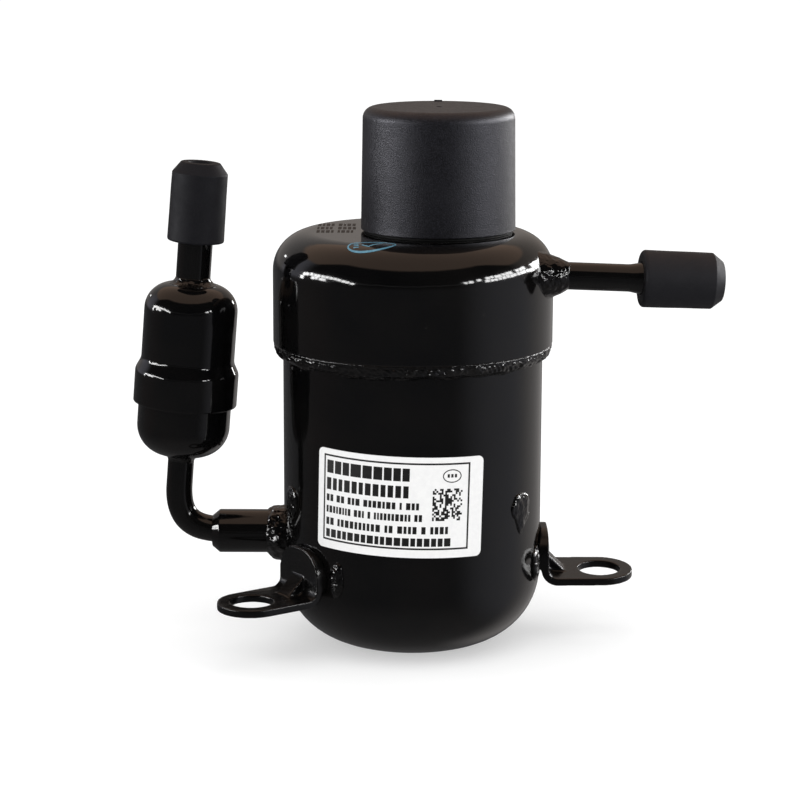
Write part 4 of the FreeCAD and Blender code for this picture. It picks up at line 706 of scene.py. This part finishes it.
def cover_mesh():
    """Points and faces of the cover, with its gate mark and the nib at the back of its top."""
    line = rounded([
        (0, COVER_TOP - GATE_DEEP), (0.62, COVER_TOP - GATE_DEEP, 0.15), (0.8, COVER_TOP, 0.1),
        (COVER_TOP_R, COVER_TOP, 2.6), (COVER_R, COVER_FOOT, 0.25), (COVER_R - COVER_WALL, COVER_FOOT, 0.2),
        (COVER_TOP_R - COVER_WALL, COVER_TOP - COVER_WALL, 0.6), (0, COVER_TOP - COVER_WALL)])
    moulding = turned(divided(line, 4), COVER, turns=256)
    points = []
    for z, inset in (
            (-NIB_HIGH, 0), (NIB_HIGH - NIB_EDGE, 0), (NIB_HIGH - NIB_EDGE * 0.3, NIB_EDGE * 0.3),
            (NIB_HIGH, NIB_EDGE)):
        side, near, far = NIB_HALF - inset, NIB_FROM + inset, NIB_TO - inset
        for x, y in ((-side, near), (side, near), (side, far), (-side, far)):
            points.append((COVER_X + x, y, COVER_TOP + z))
    faces = [(3, 2, 1, 0), (12, 13, 14, 15)]
    for ring in range(3):
        for k in range(4):
            n = (k + 1) % 4
            faces.append((ring * 4 + k, ring * 4 + n, ring * 4 + 4 + n, ring * 4 + 4 + k))
    return joined(moulding, (points, faces))


piece("cover_cap", *cover_mesh(), LOOKS["cover_plastic"], "cover_plastic",
      body="cover", replaces=("terminal_cover",))
lathe("cover_seal", rounded([
    (SEAL_BORE, CAP_TOP, 0.1), (SEAL_R, CAP_TOP, 0.1), (SEAL_R, COVER_FOOT, 0.1),
    (SEAL_BORE, COVER_FOOT, 0.1)]),
    COVER, LOOKS["gasket_rubber"], "gasket_rubber", closed=True, replaces=("cover_gasket",))


# Discharge side


lathe("tube_discharge", rounded([
    (TUBE_BORE, -TUBE_SUNK), (TUBE_R, -TUBE_SUNK), (TUBE_R, FLARE_FROM, 5), (FLARE_R, FLARE_TO, 5),
    (FLARE_R, TUBE_LONG, 0.2), (FLARE_BORE, TUBE_LONG, 0.15), (FLARE_BORE, FLARE_TO),
    (TUBE_BORE, FLARE_FROM)]),
    TUBE, PAINT, "shell_paint", closed=True, turns=96, replaces=("discharge_tube",))


def plug_line(low, top, bore, depth, rim, recess=0.0):
    """Outline of a rubber plug, open at its lower end."""
    tip = PLUG_R - 0.15
    end = [(PLUG_TIP_R, top, 0.5), (0, top)]
    if recess:
        end = [(PLUG_TIP_R, top, 0.5), (2.9, top, 0.2), (2.6, top - recess, 0.2), (0, top - recess)]
    return rounded([
        (0, depth), (bore, depth, 0.3), (bore, low, 0.3), (PLUG_R, low, rim),
        (tip, top - 2.5, 0.45)] + end)


def pressed(seed, depth):
    """Slight unevenness of soft rubber, always inwards."""
    def wobble(angle, r, z):
        place = (r * math.cos(angle), r * math.sin(angle), z)
        return -depth * (0.5 + 0.5 * lumps(place, 5, seed)) * min(1, r / 4), 0
    return wobble


plug = plug_line(low=21.2, top=40.2, bore=3.81, depth=34.5, rim=0.9)
lathe("plug_discharge", divided(plug, 1.5), TUBE,
      LOOKS["plug_rubber"], "plug_rubber", body="discharge_plug", wobble=pressed(4, 0.10),
      replaces=("discharge_plug",))


# Suction side


lathe("stub_suction", rounded([
    (STUB_BORE, STUB_FROM), (STUB_R, STUB_FROM), (STUB_R, STUB_NECK, 0.5), (STUB_LIP_R, STUB_LONG, 0.4),
    (STUB_BORE, STUB_LONG)]),
    STUB, PAINT, "shell_paint", closed=True, turns=128, replaces=("suction_stub",))


def elbow_mesh():
    """The hand-bent suction tube: down from the accumulator, round, and into the stub on a slight slope."""
    foot = ACCUMULATOR @ Vector((0, 0, -2))
    down = -(ACCUMULATOR.to_3x3() @ Vector((0, 0, 1)))
    inside = Vector((-40.0, 0, STUB_Z - 0.5))
    enter = foot + down * 5.5
    leave = Vector((-47.9, 0, STUB_Z + 0.55))
    slope = (inside - leave).normalized()
    top = ACCUMULATOR @ Vector((0, 0, 26))
    line = [top.lerp(enter, k / 24) for k in range(24)]
    for k in range(33):
        f = k / 32
        line.append(enter * (1 - f) ** 3 + (enter + down * 7.2) * 3 * f * (1 - f) ** 2
                    + (leave - slope * 5.2) * 3 * f * f * (1 - f) + leave * f ** 3)
    line += [leave.lerp(inside, k / 6) for k in range(1, 7)]
    points, faces, spokes = [], [], 96
    for i, spot in enumerate(line):
        ahead_of = line[min(i + 1, len(line) - 1)] - line[max(i - 1, 0)]
        ring = axes(spot, ahead_of, Vector((0, 1, 0)))
        for k in range(spokes):
            turn = math.tau * k / spokes
            where = ring @ Vector((math.cos(turn), math.sin(turn), 0))
            r = ELBOW_R + 0.05 * lumps(where, 4.0, 6)
            points.append(ring @ Vector((r * math.cos(turn), r * math.sin(turn), 0)))
    for i in range(len(line) - 1):
        for k in range(spokes):
            n = (k + 1) % spokes
            a, b = i * spokes, (i + 1) * spokes
            faces.append((a + k, a + n, b + n, b + k))
    faces.append(tuple(range(spokes)))
    faces.append(tuple((len(line) - 1) * spokes + k for k in range(spokes)))
    return points, faces


piece("elbow_suction", *elbow_mesh(), PAINT, "shell_paint", replaces=("suction_elbow",), sharp=50)

lathe("cup_lower", divided(rounded([
    (ELBOW_R - 0.3, 0), (CUP_R, 0, 7.2), (CUP_R, LAP_TO), (CUP_R - CUP_WALL, LAP_TO),
    (CUP_R - CUP_WALL, CUP_WALL, 6.1), (ELBOW_R - 0.3, CUP_WALL)]), 3, closed=True),
    ACCUMULATOR, PAINT, "shell_paint", closed=True, wobble=drawn(5.0, 0.05),
    replaces=("accumulator_lower",))
lathe("cup_upper", divided(rounded([
    (INLET_R - 0.3, CUP_LONG), (CUP_R, CUP_LONG, 6.2), (CUP_R, BELL_NECK, 3), (BELL_R, BELL_TOP, 3),
    (BELL_R, LAP_FROM, 0.35), (CUP_R - 0.05, LAP_FROM), (CUP_R - 0.05, LAP_TO), (CUP_R - CUP_WALL, 23.6),
    (CUP_R - CUP_WALL, CUP_LONG - CUP_WALL, 5.1), (INLET_R - 0.3, CUP_LONG - CUP_WALL)]), 3, closed=True),
    ACCUMULATOR, PAINT, "shell_paint", closed=True, wobble=drawn(6.0, 0.05),
    replaces=("accumulator_upper",))


def braze_ring(inner_r, foot, end, seed):
    """A small fillet of braze round a tube, standing on a cup's end at height foot."""
    steps, spokes = 14, 128
    away = 1 if end > foot else -1
    points, faces = [], []
    for k in range(spokes):
        turn = math.tau * k / spokes
        column = [(inner_r - 0.4, foot - away * 0.5)]
        for i in range(steps + 1):
            f = i / steps
            leg = abs(end - foot) * (1 + 0.22 * lumps((math.cos(turn) * 2, math.sin(turn) * 2, seed), 1.2))
            r = inner_r + leg * (1 - f) ** 1.6
            z = foot + away * leg * f ** 1.6
            where = (r * math.cos(turn), r * math.sin(turn), z)
            swell = math.sin(math.pi * f) * 0.10 * lumps(where, 1.2, seed)
            column.append((r + swell, z + away * swell))
        column.append((inner_r - 0.4, end))
        points += [ACCUMULATOR @ Vector((r * math.cos(turn), r * math.sin(turn), z)) for r, z in column]
    tall = steps + 3
    for k in range(spokes):
        n = (k + 1) % spokes
        for i in range(tall):
            j = (i + 1) % tall
            faces.append((k * tall + i, k * tall + j, n * tall + j, n * tall + i))
    return points, faces


piece("brazes_accumulator", *joined(
    braze_ring(INLET_R, CUP_LONG, CUP_LONG + 1.5, 3.0), braze_ring(ELBOW_R, 0.0, -1.5, 4.0)),
    WELD, "weld_paint", replaces=("accumulator_brazes",), sharp=0)
lathe("tube_inlet", rounded([
    (INLET_BORE, INLET_FROM), (INLET_R, INLET_FROM), (INLET_R, INLET_LONG, 0.25),
    (INLET_BORE, INLET_LONG, 0.2)]),
    ACCUMULATOR, PAINT, "shell_paint", closed=True, turns=96, replaces=("suction_inlet",))
plug = plug_line(low=51.2, top=69.7, bore=4.11, depth=62.5, rim=0.5, recess=0.6)
lathe("plug_suction", divided(plug, 1.5), ACCUMULATOR,
      LOOKS["suction_rubber"], "plug_rubber", body="suction_plug", wobble=pressed(8, 0.10),
      replaces=("suction_plug",))


# Rating label and inspection mark


def on_shell(u, v, lift):
    """A spot on the label's plane, u to the right and v up from its middle, laid on the shell."""
    across = u * math.cos(LABEL_TILT) + v * math.sin(LABEL_TILT)
    up = v * math.cos(LABEL_TILT) - u * math.sin(LABEL_TILT)
    turn = math.radians(LABEL_ANGLE) + across / SHELL_R
    return ((SHELL_R + lift) * math.cos(turn), (SHELL_R + lift) * math.sin(turn), LABEL_Z + up)


def film(rows, low, high, wrap=on_shell):
    """Closed sheet over rows of (v, left, right), from lift low to lift high."""
    count = max(2, math.ceil((rows[0][2] - rows[0][1]) / FILM_STEP))
    points, faces = [], []
    for lift in (low, high):
        for v, left, right in rows:
            for k in range(count + 1):
                points.append(wrap(left + (right - left) * k / count, v, lift))
    wide = count + 1
    top = len(rows) * wide
    for i in range(len(rows) - 1):
        for k in range(count):
            a = i * wide + k
            faces.append((a, a + wide, a + wide + 1, a + 1))
            faces.append((top + a, top + a + 1, top + a + wide + 1, top + a + wide))
    for k in range(count):
        b = (len(rows) - 1) * wide + k
        faces.append((k, k + 1, top + k + 1, top + k))
        faces.append((b + 1, b, top + b, top + b + 1))
    for i in range(len(rows) - 1):
        a, b = i * wide, (i + 1) * wide
        faces.append((b, a, top + a, top + b))
        faces.append((a + count, b + count, top + b + count, top + a + count))
    return points, faces


def bar(u, v, wide, high):
    """A printed bar with its left lower corner at (u, v)."""
    return film([(v, u, u + wide), (v + high, u, u + wide)], LABEL_SKIN - 0.02, LABEL_SKIN + PRINT_LIFT)


half_long, half_high, corner_r = LABEL_LONG / 2, LABEL_HIGH / 2, 1.3
label_rows = []
for k in range(9):
    rise = corner_r * (1 - math.cos(math.radians(90 * k / 8)))
    inset = corner_r * (1 - math.sqrt(max(0.0, 1 - (1 - rise / corner_r) ** 2)))
    label_rows.append((-half_high + rise, -half_long + inset, half_long - inset))
for k in range(1, 12):
    label_rows.append((-half_high + corner_r + (LABEL_HIGH - 2 * corner_r) * k / 12, -half_long, half_long))
label_rows += [(-v, left, right) for v, left, right in reversed(label_rows[:9])]
piece("label_sheet", *film(label_rows, -0.03, LABEL_SKIN), LOOKS["label_film"], "label_film",
      replaces=("rating_label",), sharp=50)

LEFT, RIGHT = -half_long + 1.7, half_long - 3.4
BOTTOM, TOP = -half_high + 1.9, half_high - 1.3
FRAME_LINE = 0.40
marks = [
    bar(LEFT, BOTTOM, RIGHT - LEFT, FRAME_LINE), bar(LEFT, TOP - FRAME_LINE, RIGHT - LEFT, FRAME_LINE),
    bar(LEFT, BOTTOM, FRAME_LINE, TOP - BOTTOM), bar(RIGHT - FRAME_LINE, BOTTOM, FRAME_LINE, TOP - BOTTOM)]


def row_of_bars(left, right, low, high, seed, narrow, broad, gap, chance):
    """A row of plain blocks of uneven width, broken now and then by a wider gap."""
    pick = random.Random(SEED + seed)
    u = left
    while u < right:
        wide = min(pick.uniform(narrow, broad), right - u)
        if wide > narrow * 0.5:
            marks.append(bar(u, low, wide, high - low))
        u += wide + (gap * 3.2 if pick.random() < chance else gap)


# Each row's right end as a share of the frame, its lower and upper edge below the frame's top, its narrowest
# and broadest block, its gap, and its share of wide gaps
for seed, (share, low, high, narrow, broad, gap, chance) in enumerate((
        (0.62, 4.3, 1.3, 1.6, 2.6, 0.38, 0.0),
        (0.60, 8.2, 5.4, 1.0, 1.5, 0.50, 0.0),
        (0.68, 10.9, 9.3, 0.5, 1.0, 0.30, 0.22),
        (0.70, 13.6, 12.0, 0.4, 0.8, 0.28, 0.15),
        (0.86, 16.5, 14.8, 0.6, 1.1, 0.34, 0.18),
        (0.90, 19.4, 17.5, 0.9, 1.6, 0.36, 0.10)), start=1):
    end = LEFT + (RIGHT - LEFT) * share
    row_of_bars(LEFT + 0.9, end, TOP - low, TOP - high, seed, narrow, broad, gap, chance)

# A square of random cells, which encodes nothing
CELL, CELL_HIGH, CELLS = 0.41, 0.44, 17
cells = random.Random(SEED)
for column in range(CELLS):
    for line in range(CELLS):
        if cells.random() < 0.5:
            marks.append(bar(RIGHT - 8.7 + column * CELL, TOP - 13.4 + line * CELL_HIGH, CELL, CELL_HIGH))


def ring_print(centre_u, centre_v, half_u, half_v, thick, lift_low, lift_high, wrap, tall=None):
    """A printed oval ring, thick at its sides and tall (or as thick) at its top and bottom."""
    points, faces, spokes = [], [], 72
    for k in range(spokes):
        turn = math.tau * k / spokes
        for lift, shrink in ((lift_low, 0), (lift_high, 0), (lift_high, thick), (lift_low, thick)):
            points.append(wrap(
                centre_u + (half_u - shrink) * math.cos(turn),
                centre_v + (half_v - shrink * (tall or thick) / thick) * math.sin(turn), lift))
    for k in range(spokes):
        n = (k + 1) % spokes
        for i in range(4):
            j = (i + 1) % 4
            faces.append((k * 4 + i, k * 4 + j, n * 4 + j, n * 4 + i))
    return points, faces


skin = (LABEL_SKIN - 0.02, LABEL_SKIN + PRINT_LIFT)
marks.append(ring_print(RIGHT - 4.3, TOP - 3.0, 2.2, 1.55, 0.22, *skin, on_shell))
for step in range(3):
    marks.append(bar(RIGHT - 5.4 + step * 0.85, TOP - 3.35, 0.5, 0.8))
piece("label_print", *joined(*marks), BLACK_INK, "label_film", sharp=40)


def on_cap(u, v, lift):
    """A spot round the inspection mark's middle, laid on the cap's top and shoulder."""
    x, y = MARK_X + u, MARK_Y + v
    r = math.hypot(x, y)
    flat = CAP_R - CAP_CORNER
    fall = max(0.0, r - flat)
    z = CAP_TOP - CAP_CORNER + math.sqrt(max(0.0, CAP_CORNER ** 2 - fall ** 2))
    normal = Vector((x / r * fall, y / r * fall, z - CAP_TOP + CAP_CORNER)).normalized()
    return tuple(Vector((x, y, z)) + normal * lift)


def stroke(path, half, wrap):
    """A printed line along a path of (u, v)."""
    points, faces = [], []
    count = len(path)
    for i, (u, v) in enumerate(path):
        before, after = path[max(i - 1, 0)], path[min(i + 1, count - 1)]
        across = Vector((before[1] - after[1], after[0] - before[0])).normalized() * half
        for side, lift in ((1, -PRINT_LIFT), (1, PRINT_LIFT), (-1, PRINT_LIFT), (-1, -PRINT_LIFT)):
            points.append(wrap(u + across.x * side, v + across.y * side, lift))
    for i in range(count - 1):
        for k in range(4):
            n = (k + 1) % 4
            faces.append((i * 4 + k, i * 4 + n, i * 4 + 4 + n, i * 4 + 4 + k))
    faces += [(0, 1, 2, 3), tuple(count * 4 - 1 - k for k in range(4))]
    return points, faces


tick = [(-2.2 + 0.11 * k, 0.3 - 0.11 * k) for k in range(14)]
tick += [(-0.7 + 0.13 * k, -1.2 + 0.16 * k) for k in range(24)]
piece("inspection_mark", *joined(
    ring_print(0, 0, 5.5, 3.9, 0.36, -PRINT_LIFT, PRINT_LIFT, on_cap, tall=0.75), stroke(tick, 0.22, on_cap),
    *(stroke([(-4.1 + 0.12 * k, v) for k in range(11)], 0.2, on_cap) for v in (-0.9, 0.1, 1.1))),
    BLUE_INK, "label_film", sharp=50)


# Plain bars in place of the stamped text beside the cover, three rows in two groups
GROUP_LONG, BAR_GAP, BAR_STEP = 3.9, 0.32, 0.5
stamps = []
pick = random.Random(SEED + 20)
for left in (-22.5, -17.6):
    for near in (-3.4, 2.2, 7.8):
        x = left
        while x < left + GROUP_LONG:
            long = pick.uniform(0.5, 0.9)
            rows = [(near + k * BAR_STEP - MARK_Y, x - MARK_X, x - MARK_X + long) for k in range(9)]
            stamps.append(film(rows, -PRINT_LIFT, 0.02, on_cap))
            x += long + BAR_GAP
piece("cap_stamps", *joined(*stamps), STAMP_INK, "label_film", sharp=40)


# Stage, lights and camera


def floor():
    """A pale sheet under the object, which its own faint light keeps white."""
    mesh = bpy.data.meshes.new("floor")
    reach = 6.0
    corners = [(-reach, -reach, 0), (reach, -reach, 0), (reach, reach, 0), (-reach, reach, 0)]
    mesh.from_pydata(corners, [], [(0, 1, 2, 3)])
    look = Look("floor_paper", Specular_IOR_Level=0.0, Roughness=1.0,
                Emission_Color=(1, 1, 1, 1), Emission_Strength=0.48)
    look.colour(look.mix(look.between(look.noise(90, 3), 0.3, 0.7), (0.57, 0.57, 0.57), (0.60, 0.60, 0.60)))
    look.bump(look.noise(1.5, 3), 0.02)
    mesh.materials.append(look.material)
    obj = bpy.data.objects.new("floor", mesh)
    bpy.context.scene.collection.objects.link(obj)
    obj.visible_glossy = False


floor()


class Sky(Nodes):
    """World nodes: white to the camera, soft and even to matt surfaces, a dim studio room in reflections."""

    def __init__(self):
        world = bpy.data.worlds.new("studio")
        bpy.context.scene.world = world
        world.use_nodes = True
        world.cycles.sampling_method = "NONE"
        super().__init__(world.node_tree)
        self.tree.nodes.clear()
        output = self.node("ShaderNodeOutputWorld")
        rays = self.node("ShaderNodeLightPath")
        even = self.light((0.94, 0.94, 0.94, 1))
        white = self.light((1, 1, 1, 1))
        lit = self.choose(rays.outputs["Is Diffuse Ray"], self.light(self.room()), even)
        seen = self.choose(rays.outputs["Is Camera Ray"], lit, white)
        self.link(seen, output.inputs["Surface"])

    def light(self, colour):
        node = self.node("ShaderNodeBackground")
        self.link(colour, node.inputs["Color"])
        return node.outputs[0]

    def choose(self, factor, a, b):
        node = self.node("ShaderNodeMixShader")
        for source, socket in zip((factor, a, b), node.inputs):
            self.link(source, socket)
        return node.outputs[0]

    def smooth(self, source, low, high):
        """0 at low and 1 at high, eased at both ends."""
        return self.between(source, low, high, curve="SMOOTHSTEP")

    def room(self):
        """Dark in front and below, grey-brown wall behind, grey at the sides, warm ceiling."""
        place = self.node("ShaderNodeTexCoord")
        parts = self.node("ShaderNodeSeparateXYZ")
        self.link(place.outputs["Generated"], parts.inputs[0])
        x, y, z = parts.outputs
        # The paper below, paler straight down
        shade = self.mix(self.smooth(z, 0.06, -0.10), (0.018, 0.018, 0.018), (0.085, 0.085, 0.088))
        shade = self.mix(self.smooth(z, -0.35, -0.9), shade, (0.16, 0.155, 0.155))
        # The sides, and the edge of the wall
        right = self.maths("MULTIPLY", self.smooth(x, 0.55, 1.0), self.smooth(z, 0.45, 0.1))
        left = self.maths("MULTIPLY", self.smooth(x, -0.86, -1.0), self.smooth(z, 0.45, 0.1))
        colour = self.mix(right, shade, (0.36, 0.36, 0.39))
        colour = self.mix(left, colour, (0.10, 0.09, 0.09))
        limb = self.maths("MULTIPLY", self.smooth(y, 0.1, 0.6), self.smooth(x, 0.1, 0.35))
        colour = self.mix(limb, colour, (0.43, 0.41, 0.40))
        # The wall behind, bluish at its far left
        wall = self.mix(self.smooth(x, -0.5, 0.4), (0.32, 0.30, 0.29), (0.33, 0.29, 0.26))
        wall = self.mix(self.smooth(x, -0.6, -0.85), wall, (0.50, 0.50, 0.57))
        behind = self.maths("MULTIPLY", self.smooth(y, 0.05, 0.35), self.smooth(z, -0.08, 0.05))
        colour = self.mix(behind, colour, wall)
        # The ceiling, which comes lower behind than in front
        limit = self.maths("SUBTRACT", z, self.between(self.smooth(y, -0.2, 0.2), 0, 1, 0.735, 0.50))
        return self.mix(self.smooth(limit, 0.0, 0.06), colour, (0.66, 0.47, 0.36))


Sky()
CENTRE = Vector((0, 0, 60)) * MM


def direction(azimuth, elevation):
    """Unit vector, azimuth from the camera's side (-Y) towards +X."""
    a, e = math.radians(azimuth), math.radians(elevation)
    return Vector((math.sin(a) * math.cos(e), -math.cos(a) * math.cos(e), math.sin(e)))


def lamp(name, azimuth, elevation, distance, wide, high, radiance):
    """A rectangular area light that faces the object and isn't seen in gloss."""
    data = bpy.data.lights.new(name, "AREA")
    data.shape = "RECTANGLE"
    data.size, data.size_y = wide, high
    data.energy = radiance * math.pi * wide * high
    obj = bpy.data.objects.new(name, data)
    bpy.context.scene.collection.objects.link(obj)
    out = direction(azimuth, elevation)
    obj.location = CENTRE + out * distance
    obj.rotation_euler = out.to_track_quat("Z", "Y").to_euler()
    obj.visible_camera = obj.visible_glossy = False


def panels(name, spots, distance, wide, high, strength, missing=0.07):
    """Small bright panels in rows between (azimuth, elevation) spots, seen only in gloss."""
    points, faces = [], []
    pick = random.Random(SEED)
    for azimuth, elevation in spots:
        if pick.random() < missing:
            continue
        out = direction(azimuth + pick.uniform(-0.4, 0.4), elevation + pick.uniform(-0.8, 0.8))
        across = UP.cross(out).normalized() * wide / 2
        up = out.cross(across).normalized() * high / 2
        base = len(points)
        middle = CENTRE + out * distance
        points += [middle - across - up, middle + across - up, middle + across + up, middle - across + up]
        faces.append((base, base + 1, base + 2, base + 3))
    mesh = bpy.data.meshes.new(name)
    mesh.from_pydata(points, [], faces)
    look = Look(name, Base_Color=(0, 0, 0, 1), Emission_Color=(1, 1, 1, 1), Emission_Strength=strength)
    mesh.materials.append(look.material)
    obj = bpy.data.objects.new(name, mesh)
    bpy.context.scene.collection.objects.link(obj)
    obj.visible_camera = obj.visible_diffuse = obj.visible_shadow = False


ROW_STEP = 6.3
PANEL_STEP = 4.2
PANEL_WIDE = 0.115
PANEL_HIGH = 0.19
PANELS_AWAY = 2.0


def cells_along(first, count, height, rows_at):
    """Spots of panels in staggered rows along an arc of azimuths.

    height gives the arc's elevation at an azimuth, and rows_at the rows at a step."""
    spots = []
    for k in range(count):
        for row in rows_at(k):
            azimuth = first + PANEL_STEP * (k + row / 3)
            spots.append((azimuth, height(azimuth) + ROW_STEP * row))
    return spots


panels("left_panels", cells_along(
    -100, 13, lambda azimuth: 13.5 - 0.008 * (azimuth + 78) ** 2,
    lambda k: (-1, 0) if k < 7 else (0,)), PANELS_AWAY, PANEL_WIDE, PANEL_HIGH, 21)
panels("right_panels", cells_along(
    43, 27, lambda azimuth: 19.3 - 0.0026 * (azimuth - 92) ** 2 - 3.5e-7 * (azimuth - 92) ** 4,
    lambda k: (0,) if k < 5 else (-1, 0)), PANELS_AWAY, PANEL_WIDE, PANEL_HIGH, 20)
panels("dim_panels", [(-50 + 4 * k, 9 - 3 * math.sin(math.pi * k / 23)) for k in range(24)],
       PANELS_AWAY, 0.15, 0.05, 0.22, missing=0)
panels("small_panel", [(-141, 13)], PANELS_AWAY, 0.10, 0.06, 14, missing=0)
lamp("front_fill", -20, 38, 1.6, 1.2, 0.9, 0.25)
lamp("top_fill", 20, 80, 1.6, 1.6, 1.6, 1.0)

LENS = 112.9
CAMERA_ELEVATION = 11.9
CAMERA_AWAY = 0.593
CAMERA_ROLL = math.radians(0.2)
TARGET = Vector((-2.96, 0, 57.3)) * MM

camera = bpy.data.objects.new("camera", bpy.data.cameras.new("camera"))
bpy.context.scene.collection.objects.link(camera)
camera.data.lens = LENS
camera.data.sensor_width = 36.0
camera.data.clip_start = 0.01
sight = direction(0, CAMERA_ELEVATION)
camera.location = TARGET + sight * CAMERA_AWAY
roll = Matrix.Rotation(CAMERA_ROLL, 3, "Z")
camera.rotation_euler = (sight.to_track_quat("Z", "Y").to_matrix() @ roll).to_euler()
bpy.context.scene.camera = camera
bpy.context.scene.view_settings.view_transform = "Standard"
